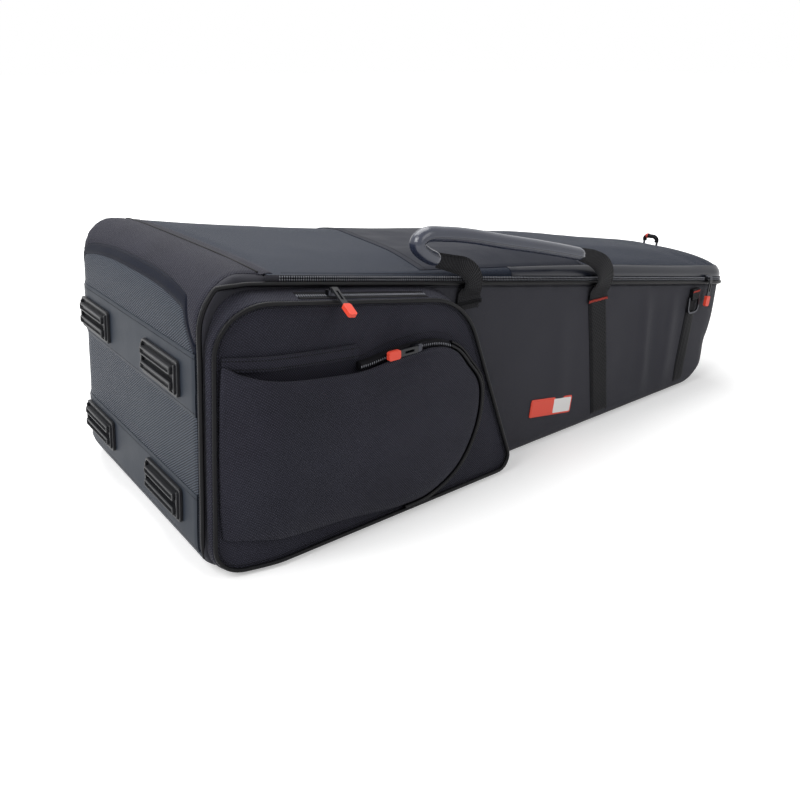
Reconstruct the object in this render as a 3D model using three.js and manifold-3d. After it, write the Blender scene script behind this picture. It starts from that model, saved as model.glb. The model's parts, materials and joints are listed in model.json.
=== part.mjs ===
// Trombone case: a padded, tapered soft case that lies on its long side.
// Millimetres. +X runs from the wide bell end to the narrow end, -Y is the pocket side, +Z is up.
// The origin is on the flat underside, at mid length and mid width.
import * as THREE from 'three';
import { mergeVertices } from 'three/addons/utils/BufferGeometryUtils.js';
import Module from 'manifold-3d';

const wasm = await Module();
wasm.setup();

// Body of the case
const caseLength = 950;
const bellWidth = 404;
const narrowWidth = 232;
const bellHeight = 314;
const narrowHeight = 166;
const endLean = 24;
const bellFrontRadius = 6;
const bellRearRadius = 50;
const narrowRadius = 45;
const bottomEdgeRadius = 16;
const bellTopRadius = 55;
const bellBottomRadius = 35;
const narrowBottomRadius = 50;
const leastRadius = 4;
const paddedWall = 14;
const deckLength = 95;
const deckRise = 7;
const lidRise = 33;
const rampEndShare = 0.62;
const lidEndRound = 60;
const crownPower = 3;
const clearance = 0.3;
const overrun = 20;

// Coil zip and corded piping along the lid's edge
const zipGap = 6;
const zipDepth = 3;
const zipProud = 1.6;
const zipStart = 14;
const pipingRadius = 2.6;
const pipingDrop = 5.5;
const bottomPipingHeight = 9;
const tabLength = 17;
const tabHeight = 5.2;
const tabThickness = 1.5;

// Covering of the bell end
const skinThickness = 1.2;
const seamGap = 0.5;
const endFabricBottom = 9;
const stripHeight = 63;
const stripBottoms = [28, 173];
const endSeamHeight = 281;
const endSeamDrop = 18;
const leatherBandWidth = 12;
const endSeamInset = 7;

// Leatherette on the lid, by distance from the bell end
const patchFrontStart = 298;
const patchRearStart = 352;
const patchFrontEnd = 592;
const patchRearEnd = 560;
const lidBandStart = 440;
const lidBandInset = 9;

// Moulded feet on the bell end
const footWidth = 100;
const footHeight = 38;
const footPlate = 3.5;
const footCorner = 5;
const footBarWidth = 84;
const footBarHeight = 9;
const footBarProud = 8;
const footBarSpacing = 16;
const footSpread = 107.5;
const footRows = [65, 202];

// Large pocket on the front
const pocketDepth = 25;
const pocketWall = 3;
const pocketEndInset = 4;
const pocketTopGap = 17;
const pocketBottom = 4;
const pocketTopLength = 338;
const pocketBottomLength = 432;
const pocketBottomLeftRadius = 32;
const pocketTopLeftRadius = 52;
const pocketTopRightRadius = 88;
const pocketBottomRightRadius = 20;
const pocketPipingRadius = 2.4;
const mouthStart = 118;
const mouthLength = 166;
const mouthWidth = 11;
const mouthOff = 15.5;
const mouthTapeWidth = 2;
const mouthTapeThickness = 1.6;

// Small domed pocket on the large pocket's face
const domeWall = 2.4;
const domeRise = 20;
const domeLipRise = 11;
const domePipingRadius = 1.8;
const domeLeft = 10;
const domeBottom = 15;
const domeLength = 351;
const domeHeight = 215;
const bandWidth = 14;
const bandLength = 160;
const bandThickness = 1.4;
const bandRise = 4;
const bandInset = 3;
const domeZipWidth = 7;
const domeZipDepth = 9;

// Webbing, handles and their stitching
const webbingWidth = 38;
const webbingThickness = 1.8;
const leftStrapAlong = 366;
const rightStrapAlong = 616;
const rightStrapSlant = 29;
const anchorDrop = 29;
const leftTabHeight = 16;
const strapBottom = 17;
const bartackLength = 42;
const bartackHeight = 5;
const bartackThickness = 1.4;
const gripRadius = 9;
const gripOff = 15;
const handleHeight = 80;

// Rings, sliders and the plain tag
const ringAlong = 862;
const ringDrop = 29;
const ringWidth = 30;
const ringHeight = 27;
const ringBar = 2.8;
const ringThickness = 2.6;
const ringTabWidth = 18;
const ringTabHeight = 14;
const ringTabThickness = 1.1;
const ringPlay = 0.75;
const endTabAcross = 54;
const endTabRise = 18;
const ringWebWidth = 24;
const ringWebSlant = 15;
const sliderLength = 13;
const sliderWidth = 8.4;
const sliderLift = 1.7;
const sliderThickness = 5.5;
const bridgeHeight = 2.6;
const bridgeLength = 7;
const pullWidth = 7.5;
const pullLength = 24;
const pullThickness = 2;
const pullSlotWidth = 3;
const pullSlotLength = 13;
const tipWidth = 10;
const tipLength = 16;
const tipThickness = 4.4;
const mainSliderInset = 55;
const restTilt = 31;
const smallSliderShare = 0.68;
const tagLength = 87;
const tagHeight = 25;
const tagThickness = 1.5;
const tagAlong = 489;
const tagBottom = 47;
const tagRadius = 3;

// Fittings inside
const cradleLength = 48;
const cradleHeight = 96;
const cradleNotchRadius = 112;
const cradleNotchShare = 0.42;
const dividerThickness = 12;
const dividerOffset = 62;
const dividerStart = 250;
const dividerEnd = 830;
const dividerDrop = 38;
const neckAlong = 560;
const neckLength = 60;
const neckHeight = 62;
const neckNotchRadius = 24;
const strapBandWidth = 30;
const strapBandThickness = 2;

// Counts that set how finely curves are cut
const cornerSteps = 4;
const sideSteps = 9;
const edgeSteps = 3;
const arcSteps = 8;
const tubeSides = 7;
const crownShares = [0.04, 0.13, 0.32, 0.62, 1];

// Colours as they are in the photograph
const finishes = {
  twill: { color: 0x222327, roughness: 0.9, metalness: 0 },
  fabric: { color: 0x2b2c31, roughness: 0.88, metalness: 0 },
  lidFabric: { color: 0x3a3c42, roughness: 0.85, metalness: 0 },
  leather: { color: 0x3f4249, roughness: 0.5, metalness: 0 },
  weave: { color: 0x4b4e55, roughness: 0.8, metalness: 0 },
  vinyl: { color: 0x43464d, roughness: 0.6, metalness: 0 },
  piping: { color: 0x1d1e21, roughness: 0.7, metalness: 0 },
  coil: { color: 0x26272b, roughness: 0.45, metalness: 0 },
  webbing: { color: 0x17181a, roughness: 0.85, metalness: 0 },
  thread: { color: 0xd8402c, roughness: 0.75, metalness: 0 },
  moulded: { color: 0x191a1d, roughness: 0.5, metalness: 0 },
  metal: { color: 0x6d6f74, roughness: 0.35, metalness: 1 },
  rubber: { color: 0xe2472f, roughness: 0.6, metalness: 0 },
  foam: { color: 0x2a2a2e, roughness: 0.95, metalness: 0 },
  tag: { color: 0x34353a, roughness: 0.6, metalness: 0 },
};

// Slopes worked out from the sizes
const leanRate = endLean / bellHeight;
const taperRate = (bellWidth - narrowWidth) / 2 / caseLength;
const zipSlope = (bellHeight - narrowHeight) / caseLength;
const taperAngle = Math.atan(taperRate);
const slopeAngle = Math.atan(zipSlope * Math.cos(taperAngle));
const leanAngle = Math.atan(leanRate);

function halfWidthAt(x) {
  return bellWidth / 2 - x * taperRate;
}

function zipHeightAt(x) {
  return bellHeight - x * zipSlope;
}

// A length along a side face, measured from the bell end at the floor, gives its place along X.
function alongToX(along) {
  return along * Math.cos(taperAngle);
}

function zipHeightAlong(along) {
  return zipHeightAt(alongToX(along));
}

function smooth(share) {
  const t = Math.min(Math.max(share, 0), 1);
  return t * t * (3 - 2 * t);
}

function riseAt(x) {
  return deckRise + (lidRise - deckRise) * smooth((x - deckLength) / (rampEndShare * caseLength));
}

function vector(x, y) {
  return new THREE.Vector2(x, y);
}

// Welds a triangle list into one closed geometry that faces outward.
function closedGeometry(geometry) {
  const bare = geometry.clone();
  bare.deleteAttribute('normal');
  bare.deleteAttribute('uv');
  const welded = mergeVertices(bare);
  const index = welded.index.array;
  const place = welded.attributes.position;
  const kept = [];
  const a = new THREE.Vector3();
  const b = new THREE.Vector3();
  const c = new THREE.Vector3();
  let volume = 0;
  for (let i = 0; i < index.length; i += 3) {
    const [p, q, r] = [index[i], index[i + 1], index[i + 2]];
    if (p === q || q === r || r === p) continue;
    kept.push(p, q, r);
    a.fromBufferAttribute(place, p);
    b.fromBufferAttribute(place, q);
    c.fromBufferAttribute(place, r);
    volume += a.dot(b.cross(c));
  }
  welded.setIndex(volume < 0 ? kept.reverse() : kept);
  welded.computeVertexNormals();
  return welded;
}

// Rings of points are joined in order, and each end is closed by a fan about its middle.
function ringSolid(rings) {
  const corners = [];
  const joinRings = (low, high) => {
    low.forEach((point, i) => {
      const next = (i + 1) % low.length;
      corners.push(point, low[next], high[next], point, high[next], high[i]);
    });
  };
  const closeRing = (ring, flip) => {
    const middle = new THREE.Vector3();
    ring.forEach((point) => middle.addScaledVector(point, 1 / ring.length));
    ring.forEach((point, i) => {
      const next = ring[(i + 1) % ring.length];
      corners.push(middle, flip ? next : point, flip ? point : next);
    });
  };
  closeRing(rings[0], true);
  for (let i = 1; i < rings.length; i += 1) joinRings(rings[i - 1], rings[i]);
  closeRing(rings[rings.length - 1], false);
  return closedGeometry(new THREE.BufferGeometry().setFromPoints(corners));
}

function toSolid(geometry) {
  const welded = closedGeometry(geometry);
  const mesh = new wasm.Mesh({
    numProp: 3,
    vertProperties: new Float32Array(welded.attributes.position.array),
    triVerts: new Uint32Array(welded.index.array),
  });
  return new wasm.Manifold(mesh);
}

function toGeometry(solid) {
  const mesh = solid.getMesh();
  const geometry = new THREE.BufferGeometry();
  geometry.setAttribute('position', new THREE.BufferAttribute(new Float32Array(mesh.vertProperties), 3));
  geometry.setIndex(Array.from(mesh.triVerts));
  geometry.computeVertexNormals();
  return geometry;
}

function namedMesh(name, finish, geometry) {
  const mesh = new THREE.Mesh(geometry, new THREE.MeshStandardMaterial(finishes[finish]));
  mesh.name = name;
  return mesh;
}

// A shape drawn as points, pushed out along +Z from one height to another
function slab(points, from, to) {
  const shape = new THREE.Shape(points);
  const options = { depth: to - from, bevelEnabled: false, curveSegments: arcSteps };
  return new THREE.ExtrudeGeometry(shape, options).translate(0, 0, from);
}

// Points drawn in X and Z are pushed across Y, from low to high.
function acrossSlab(points, low, high) {
  const geometry = slab(points, -high, -low);
  return geometry.rotateX(Math.PI / 2);
}

// Points drawn in Y and Z are pushed along X, from low to high.
function lengthwiseSlab(points, low, high) {
  const turned = slab(points, low, high);
  const basis = new THREE.Matrix4().makeBasis(
    new THREE.Vector3(0, 1, 0),
    new THREE.Vector3(0, 0, 1),
    new THREE.Vector3(1, 0, 0),
  );
  return turned.applyMatrix4(basis);
}

// A polygon with each corner rounded by its own radius
function roundedPolygon(corners, radii) {
  const points = [];
  corners.forEach((corner, i) => {
    const before = corners[(i + corners.length - 1) % corners.length];
    const after = corners[(i + 1) % corners.length];
    const toBefore = before.clone().sub(corner).normalize();
    const toAfter = after.clone().sub(corner).normalize();
    const half = Math.acos(THREE.MathUtils.clamp(toBefore.dot(toAfter), -1, 1)) / 2;
    const reach = radii[i] / Math.tan(half);
    const start = corner.clone().addScaledVector(toBefore, reach);
    const end = corner.clone().addScaledVector(toAfter, reach);
    const inward = toBefore.clone().add(toAfter).normalize();
    const centre = corner.clone().addScaledVector(inward, radii[i] / Math.sin(half));
    const from = start.clone().sub(centre).angle();
    let turn = end.clone().sub(centre).angle() - from;
    if (turn > Math.PI) turn -= 2 * Math.PI;
    if (turn < -Math.PI) turn += 2 * Math.PI;
    for (let step = 0; step <= arcSteps; step += 1) {
      const angle = from + (turn * step) / arcSteps;
      const spoke = vector(Math.cos(angle), Math.sin(angle));
      points.push(centre.clone().addScaledVector(spoke, radii[i]));
    }
  });
  return points;
}

// Moves each edge of a convex counter-clockwise polygon inward.
function insetPolygon(corners, distance) {
  const count = corners.length;
  const edges = corners.map((corner, i) => {
    const run = corners[(i + 1) % count].clone().sub(corner).normalize();
    const inward = vector(-run.y, run.x);
    return { start: corner.clone().addScaledVector(inward, distance), run };
  });
  return edges.map((edge, i) => {
    const last = edges[(i + count - 1) % count];
    const gap = edge.start.clone().sub(last.start);
    const share = gap.cross(edge.run) / last.run.cross(edge.run);
    return last.start.clone().addScaledVector(last.run, share);
  });
}

// The plan of one side, from the middle of the bell end to the middle of the narrow end.
// Each point holds its distance along the floor and its distance inside the side face.
function sidePlan(inset, bellRadius) {
  const cornerAt = (radius, share) => {
    const reach = Math.max(radius, inset + leastRadius);
    const turn = (share * Math.PI) / 2;
    const round = reach - inset;
    return { fromEnd: reach - round * Math.cos(turn), inside: reach - round * Math.sin(turn) };
  };
  const plan = [];
  for (let step = 0; step <= cornerSteps; step += 1) {
    const corner = cornerAt(bellRadius, step / cornerSteps);
    plan.push({ x: corner.fromEnd, inside: corner.inside });
  }
  const start = cornerAt(bellRadius, 1).fromEnd;
  const stop = caseLength - cornerAt(narrowRadius, 1).fromEnd;
  for (let step = 1; step < sideSteps; step += 1) {
    plan.push({ x: start + ((stop - start) * step) / sideSteps, inside: inset });
  }
  for (let step = cornerSteps; step >= 0; step -= 1) {
    const corner = cornerAt(narrowRadius, step / cornerSteps);
    plan.push({ x: caseLength - corner.fromEnd, inside: corner.inside });
  }
  return plan;
}

// Places a plan point at a height, or on the zip's sloping plane moved up or down.
function atHeight(point, side, height) {
  const x = point.x + height * leanRate;
  return new THREE.Vector3(x, side * (halfWidthAt(x) - point.inside), height);
}

function atZip(point, side, lift) {
  const x = (point.x + (bellHeight + lift) * leanRate) / (1 + zipSlope * leanRate);
  return new THREE.Vector3(x, side * (halfWidthAt(x) - point.inside), zipHeightAt(x) + lift);
}

// The whole rounded outside of the case, moved inward by an inset, or outward when it is negative
function bodyRings(inset) {
  const ringAt = (planInset, placing) => {
    const front = sidePlan(planInset, bellFrontRadius).map((point) => placing(point, -1));
    const rear = sidePlan(planInset, bellRearRadius).map((point) => placing(point, 1));
    return front.concat(rear.reverse());
  };
  const rings = [];
  const edge = Math.max(bottomEdgeRadius - inset, leastRadius);
  for (let step = 0; step <= edgeSteps; step += 1) {
    const turn = (step / edgeSteps) * (Math.PI / 2);
    const planInset = inset + edge * (1 - Math.sin(turn));
    const height = inset + edge * (1 - Math.cos(turn));
    rings.push(ringAt(planInset, (point, side) => atHeight(point, side, height)));
  }
  const rim = ringAt(inset, (point, side) => atZip(point, side, 0));
  rings.push(rim);
  const count = rim.length;
  const spine = rim.map((point, i) => {
    const middle = point.clone().add(rim[count - 1 - i]).multiplyScalar(0.5);
    middle.x = Math.min(middle.x, caseLength - lidEndRound);
    return middle;
  });
  crownShares.forEach((share) => {
    const height = (1 - (1 - share) ** crownPower) ** (1 / crownPower);
    rings.push(rim.map((point, i) => {
      const raised = point.clone().lerp(spine[i], share);
      raised.z = zipHeightAt(raised.x) + (riseAt(raised.x) - inset) * height;
      return raised;
    }));
  });
  return rings;
}

// The big rounded corners of the side view, drawn in X and Z
function profileArcs(inset) {
  const far = caseLength + bellHeight;
  const high = bellHeight * 2;
  const endX = (height) => height * leanRate + inset / Math.cos(leanAngle);
  const narrowX = (height) => caseLength + height * leanRate - inset / Math.cos(leanAngle);
  const topHeight = (x) => zipHeightAt(x) + deckRise - inset;
  const arcOf = (before, corner, after, radius) => {
    const rounded = roundedPolygon([before, corner, after], [0, Math.max(radius - inset, leastRadius), 0]);
    return rounded.slice(arcSteps + 1, 2 * arcSteps + 2);
  };
  const topCorner = vector(endX(bellHeight), topHeight(endX(bellHeight)));
  const lowCorner = vector(endX(inset), inset);
  const farCorner = vector(narrowX(inset), inset);
  const bellMiddle = vector(endX(bellHeight / 2), bellHeight / 2);
  return {
    low: arcOf(bellMiddle, lowCorner, farCorner, bellBottomRadius),
    right: arcOf(lowCorner, farCorner, vector(narrowX(high), high), narrowBottomRadius),
    top: arcOf(vector(far, topHeight(far)), topCorner, bellMiddle, bellTopRadius),
  };
}

// Everything inside those corners; straight faces are left to the rings.
function sideProfile(inset) {
  const { low, right, top } = profileArcs(inset);
  const far = caseLength + bellHeight;
  const high = bellHeight * 2;
  const outerLow = vector(-overrun - high * leanRate, low[0].y);
  const points = [
    ...low,
    vector(low[low.length - 1].x, -overrun),
    vector(right[0].x, -overrun),
    ...right,
    vector(far, right[right.length - 1].y),
    vector(far, high),
    vector(top[0].x, high),
    ...top,
    vector(outerLow.x, top[top.length - 1].y),
    outerLow,
  ];
  return toSolid(acrossSlab(points, -bellWidth, bellWidth));
}

function bodySolid(inset) {
  return toSolid(ringSolid(bodyRings(inset))).intersect(sideProfile(inset));
}

// Everything above the zip's plane and beyond the hinge seam
function aboveZip(lift, hingeGap) {
  const start = deckLength + hingeGap;
  const far = caseLength + bellHeight;
  const points = [
    vector(start, zipHeightAt(start) + lift),
    vector(far, zipHeightAt(far) + lift),
    vector(far, bellHeight * 2),
    vector(start, bellHeight * 2),
  ];
  return toSolid(acrossSlab(points, -bellWidth, bellWidth));
}

const outside = bodySolid(0);
const cavity = bodySolid(paddedWall);
const skinLayers = [0, 1].map((layer) => {
  const inner = clearance + layer * (skinThickness + clearance);
  return bodySolid(-inner - skinThickness).subtract(bodySolid(-inner));
});
const skinTops = [0, 1].map((layer) => (layer + 1) * (skinThickness + clearance));

function skin(layer, region) {
  return toGeometry(skinLayers[layer].intersect(region));
}

// The padded hollow shell: floor, four walls and the fixed deck at the bell end
function makeShell() {
  const shell = outside.subtract(cavity).subtract(aboveZip(-zipGap / 2, 0));
  return namedMesh('case_shell', 'twill', toGeometry(shell));
}

function makeLidPanel() {
  const lid = outside.subtract(cavity).intersect(aboveZip(zipGap / 2, clearance));
  return namedMesh('lid_panel', 'lidFabric', toGeometry(lid));
}

// A standing block with a plan drawn in X and Y
function planBlock(points) {
  return toSolid(slab(points, -overrun, bellHeight * 2));
}

function planCorner(x, side, inset) {
  return vector(x, side * (halfWidthAt(x) - inset));
}

// The plan between two lengths, kept inside both long edges by an inset
function planBetween(start, stop, inset) {
  const front = [planCorner(start, -1, inset), planCorner(stop, -1, inset)];
  return planBlock([...front, planCorner(stop, 1, inset), planCorner(start, 1, inset)]);
}

// The arched seam across the bell end, lifted by a height
function endSeam(lift) {
  const points = [];
  for (let step = 0; step <= arcSteps; step += 1) {
    const across = (2 * step) / arcSteps - 1;
    const drop = endSeamDrop * Math.abs(across) ** crownPower;
    points.push(vector((across * bellWidth) / 2, endSeamHeight - drop + lift));
  }
  return points;
}

// A band across the bell end between a lower and an upper line
function endBand(lower, upper, reach) {
  const band = lengthwiseSlab([...lower, ...[...upper].reverse()], -overrun, reach);
  return toSolid(band).intersect(planBetween(-overrun, reach, endSeamInset));
}

function levelLine(height) {
  return [vector(-bellWidth / 2, height), vector(bellWidth / 2, height)];
}

function makeEndCovering() {
  const reach = deckLength / 2;
  const bandTop = leatherBandWidth;
  const fabric = endBand(levelLine(endFabricBottom), endSeam(0), reach);
  const band = endBand(endSeam(seamGap), endSeam(bandTop), reach);
  const wrapReach = deckLength - seamGap;
  const wrap = endBand(endSeam(bandTop + seamGap), levelLine(bellHeight * 2), wrapReach);
  const meshes = [
    namedMesh('bell_end_fabric', 'weave', skin(0, fabric)),
    namedMesh('bell_end_band', 'leather', skin(0, band)),
    namedMesh('bell_top_wrap', 'twill', skin(0, wrap)),
  ];
  stripBottoms.forEach((bottom, i) => {
    const strip = endBand(levelLine(bottom), levelLine(bottom + stripHeight), reach);
    meshes.push(namedMesh(['bell_strip_lower', 'bell_strip_upper'][i], 'vinyl', skin(1, strip)));
  });
  return meshes;
}

// Feet are drawn with X across the bell end and Y up its leaning face.
function makeFeet() {
  const end = new THREE.Group();
  const basis = new THREE.Matrix4().makeBasis(
    new THREE.Vector3(0, -1, 0),
    new THREE.Vector3(Math.sin(leanAngle), 0, Math.cos(leanAngle)),
    new THREE.Vector3(-Math.cos(leanAngle), 0, Math.sin(leanAngle)),
  );
  end.quaternion.setFromRotationMatrix(basis);
  const rectangle = (width, height, radius, middle) => {
    const corners = [[-1, -1], [1, -1], [1, 1], [-1, 1]].map(([across, up]) => (
      vector((across * width) / 2, middle + (up * height) / 2)));
    return roundedPolygon(corners, corners.map(() => radius));
  };
  const seat = skinTops[1] + clearance;
  const plate = slab(rectangle(footWidth, footHeight, footCorner, 0), seat, seat + footPlate);
  let foot = toSolid(plate);
  [-1, 1].forEach((row) => {
    const middle = (row * footBarSpacing) / 2;
    const bar = rectangle(footBarWidth, footBarHeight, footBarHeight * 0.4, middle);
    foot = foot.add(toSolid(slab(bar, seat + footPlate / 2, seat + footPlate + footBarProud)));
  });
  const rows = ['lower', 'upper'];
  footRows.forEach((height, row) => {
    ['front', 'rear'].forEach((side, column) => {
      const mesh = namedMesh(`foot_${side}_${rows[row]}`, 'moulded', toGeometry(foot));
      mesh.position.set(column === 0 ? footSpread : -footSpread, height, 0);
      end.add(mesh);
    });
  });
  return end;
}

// The rim from its start beside the hinge, round the narrow end and back, at one inset and lift
function rimLine(outward, lift, start) {
  const sides = [[-1, bellFrontRadius], [1, bellRearRadius]].map(([side, radius]) => {
    const first = sidePlan(0, radius).findIndex((point) => point.x > start + leastRadius);
    const plan = sidePlan(-outward, radius).slice(first);
    plan.unshift({ x: start, inside: -outward });
    return plan.map((point) => atZip(point, side, lift));
  });
  return sides[0].concat(sides[1].reverse());
}

function rimBar(section, start) {
  const lines = section.map(([outward, lift]) => rimLine(outward, lift, start));
  return ringSolid(lines[0].map((_, i) => lines.map((line) => line[i])));
}

function zipRow(low, high) {
  const inner = zipProud - zipDepth;
  const section = [[inner, low], [zipProud, low], [zipProud, high], [inner, high]];
  return rimBar(section, deckLength + zipStart);
}

function makeZipRows() {
  const reach = zipGap / 2 - clearance;
  const half = clearance / 2;
  return {
    body: namedMesh('main_zip_body_row', 'coil', zipRow(-reach, -half)),
    lid: namedMesh('main_zip_lid_row', 'coil', zipRow(half, reach)),
  };
}

function circlePoints(radius, sides) {
  const points = [];
  for (let i = 0; i < sides; i += 1) {
    const angle = (2 * Math.PI * i) / sides;
    points.push(vector(radius * Math.cos(angle), radius * Math.sin(angle)));
  }
  return points;
}

// A tube that turns a set number of times between each pair of points
function tube(points, radius, turns, closed) {
  const path = new THREE.CatmullRomCurve3(points, closed, 'centripetal');
  path.getUtoTmapping = (share) => share;
  const steps = turns * (closed ? points.length : points.length - 1);
  const section = new THREE.Shape(circlePoints(radius, tubeSides));
  return new THREE.ExtrudeGeometry(section, { steps, extrudePath: path, bevelEnabled: false });
}

// A point given by its distance along a side face, its height and how far it stands off
function onSide(along, height, off, side = -1) {
  const x = along * Math.cos(taperAngle) + off * Math.sin(taperAngle);
  const y = bellWidth / 2 - along * Math.sin(taperAngle) + off * Math.cos(taperAngle);
  return new THREE.Vector3(x, side * y, height);
}

// Corded piping: up the pocket side's bell corner, round its top and along the whole rim
function makeRimPiping() {
  const seat = pipingRadius + clearance;
  const cornerOff = (bellFrontRadius + seat) * Math.cos(Math.PI / 4) - bellFrontRadius;
  const edgeOff = seat * Math.cos(Math.PI / 4);
  const arcs = profileArcs(-edgeOff);
  const onArc = (point) => onSide(point.x / Math.cos(taperAngle), point.y, seat);
  const rising = arcs.low.reverse().filter((point) => point.y > bottomPipingHeight);
  const turning = arcs.top.reverse().filter((point) => point.y < zipHeightAt(point.x) - pipingDrop);
  const points = rising.map(onArc);
  const bottom = rising[rising.length - 1].y;
  for (let step = 1; step < edgeSteps; step += 1) {
    const height = bottom + ((turning[0].y - bottom) * step) / edgeSteps;
    points.push(onSide(height * leanRate - cornerOff, height, cornerOff));
  }
  turning.forEach((point) => points.push(onArc(point)));
  points.push(...rimLine(seat, -pipingDrop, deckLength - zipStart));
  return namedMesh('rim_piping', 'piping', tube(points, pipingRadius, 2, false));
}

// Faces along each long side: X along the side, Y up, Z outward
const frontSide = new THREE.Group();
frontSide.position.set(0, -bellWidth / 2, 0);
frontSide.rotation.set(Math.PI / 2, 0, taperAngle, 'ZYX');
const rearSide = new THREE.Group();
rearSide.position.set(0, bellWidth / 2, 0);
rearSide.rotation.set(Math.PI / 2, 0, Math.PI - taperAngle, 'ZYX');

// Large pocket: an open-backed box with a zipped mouth along its top edge
function pocketCorners() {
  const left = pocketEndInset;
  const topLeftHeight = zipHeightAlong(left + endLean) - pocketTopGap;
  return [
    vector(left + pocketBottom * leanRate, pocketBottom),
    vector(pocketBottomLength, pocketBottom),
    vector(pocketTopLength, zipHeightAlong(pocketTopLength) - pocketTopGap),
    vector(left + topLeftHeight * leanRate, topLeftHeight),
  ];
}

const pocketRadii = [
  pocketBottomLeftRadius,
  pocketBottomRightRadius,
  pocketTopRightRadius,
  pocketTopLeftRadius,
];

function pocketOutline(inset) {
  const radii = pocketRadii.map((radius) => Math.max(radius - inset, leastRadius));
  return roundedPolygon(insetPolygon(pocketCorners(), inset), radii);
}

// A strip along the pocket's top edge, between two distances below it
function mouthStrip(start, length, below, above) {
  const top = (along) => zipHeightAlong(along) - pocketTopGap;
  return [
    vector(start, top(start) - below),
    vector(start + length, top(start + length) - below),
    vector(start + length, top(start + length) + above),
    vector(start, top(start) + above),
  ];
}

function makeLargePocket() {
  const outer = toSolid(slab(pocketOutline(0), clearance, pocketDepth));
  const hollow = toSolid(slab(pocketOutline(pocketWall), -overrun, pocketDepth - pocketWall));
  const slot = mouthStrip(mouthStart, mouthLength, overrun, overrun);
  const mouth = toSolid(slab(slot, mouthOff - mouthWidth / 2, mouthOff + mouthWidth / 2));
  const shell = namedMesh('large_pocket', 'twill', toGeometry(outer.subtract(hollow).subtract(mouth)));

  const lift = pocketPipingRadius + clearance;
  const line = pocketOutline(pocketPipingRadius);
  const cord = line.map((point) => new THREE.Vector3(point.x, point.y, pocketDepth + lift));
  const piping = namedMesh('large_pocket_piping', 'piping', tube(cord, pocketPipingRadius, 1, true));

  const tape = mouthStrip(mouthStart, mouthLength, 0, mouthTapeThickness);
  tape.forEach((point) => point.add(vector(0, clearance)));
  const reach = mouthWidth / 2 + mouthTapeWidth - mouthTapeThickness;
  const wide = toSolid(slab(tape, mouthOff - reach, mouthOff + reach));
  const gapStart = mouthStart + mouthTapeWidth;
  const gap = mouthStrip(gapStart, mouthLength - 2 * mouthTapeWidth, overrun, overrun);
  const open = reach - mouthTapeWidth;
  const frame = wide.subtract(toSolid(slab(gap, mouthOff - open, mouthOff + open)));
  return [shell, piping, namedMesh('large_pocket_zip', 'coil', toGeometry(frame))];
}

// Small pocket: a domed panel whose top edge stands clear of the large pocket's face
const domeShares = [
  [0, 1], [0.071, 0.935], [0.18, 0.879], [0.32, 0.847], [0.466, 0.833], [0.622, 0.86],
  [0.793, 0.851], [0.88, 0.79], [0.935, 0.698], [0.985, 0.6], [1, 0.516], [0.983, 0.326],
  [0.905, 0.121], [0.778, 0.014], [0.66, 0], [0.417, 0.051], [0.183, 0.084], [0, 0.144],
];
const lipShares = [0.4, 1, 1, 1, 1, 1, 0.8, 0.4];
const domeMiddleShares = [0.5, 0.45];
const domeRingShares = [0, 0.05, 0.16, 0.4, 0.7];

function domePoint([along, up]) {
  const height = domeBottom + up * domeHeight;
  return vector(domeLeft + along * domeLength + (1 - along) * height * leanRate, height);
}

// The finer outline also tells how far its rim is lifted off the face.
function domeOutline() {
  const count = domeShares.length;
  const curve = new THREE.CatmullRomCurve3(
    domeShares.map((shares, i) => {
      const point = domePoint(shares);
      return new THREE.Vector3(point.x, point.y, (lipShares[i] ?? 0) * domeLipRise);
    }),
    false,
    'centripetal',
  );
  return curve.getPoints((count - 1) * 2);
}

function domeSurface(share, off) {
  const middle = domePoint(domeMiddleShares);
  const height = (1 - (1 - share) ** crownPower) ** (1 / crownPower);
  return domeOutline().map((rim) => {
    const low = rim.z + domeWall;
    const lift = low + (domeRise - low) * height;
    const x = rim.x + (middle.x - rim.x) * share;
    const y = rim.y + (middle.y - rim.y) * share;
    return new THREE.Vector3(x, y, pocketDepth + clearance + lift + off);
  });
}

function makeSmallPocket() {
  const outside = domeRingShares.map((share) => domeSurface(share, 0));
  const inside = domeRingShares.map((share) => domeSurface(share, -domeWall));
  const shell = namedMesh('small_pocket', 'twill', ringSolid([...inside.reverse(), ...outside]));

  const outline = domeOutline();
  const steps = 2;
  const start = 6 * steps + 1;
  const end = 14 * steps;
  const base = pocketDepth + clearance;
  const reach = domePipingRadius + clearance;
  const middle = domePoint(domeMiddleShares);
  const cord = outline.slice(start, end + 1).map((rim) => {
    const away = vector(rim.x - middle.x, rim.y - middle.y).normalize();
    return new THREE.Vector3(rim.x + away.x * reach, rim.y + away.y * reach, base + domePipingRadius);
  });
  const piping = tube(cord, domePipingRadius, 2, false);

  const top = outline.slice(4 * steps, start);
  const lower = top.map((rim) => vector(rim.x, rim.y + clearance));
  const upper = top.map((rim) => vector(rim.x, rim.y + clearance + domeZipWidth)).reverse();
  const zip = slab([...lower, ...upper], base, base + domeZipDepth);

  const edge = outline.slice(0, 4 * steps);
  const bandLine = [edge[0], edge[edge.length - 1]].map((rim) => vector(rim.x, rim.y + bandRise));
  const bandStart = bandLine[0].clone().add(vector(bandInset, 0));
  const bandEnd = bandLine[1].clone().add(vector(0, domeZipWidth + bandWidth / 2));
  const band = slab(
    [bandStart, bandEnd, bandEnd.clone().add(vector(0, bandWidth)), bandStart.clone().add(vector(0, bandWidth))],
    base,
    base + bandThickness,
  );
  return [
    shell,
    namedMesh('small_pocket_piping', 'piping', piping),
    namedMesh('small_pocket_zip', 'coil', zip),
    namedMesh('pocket_band', 'twill', band),
  ];
}

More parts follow.
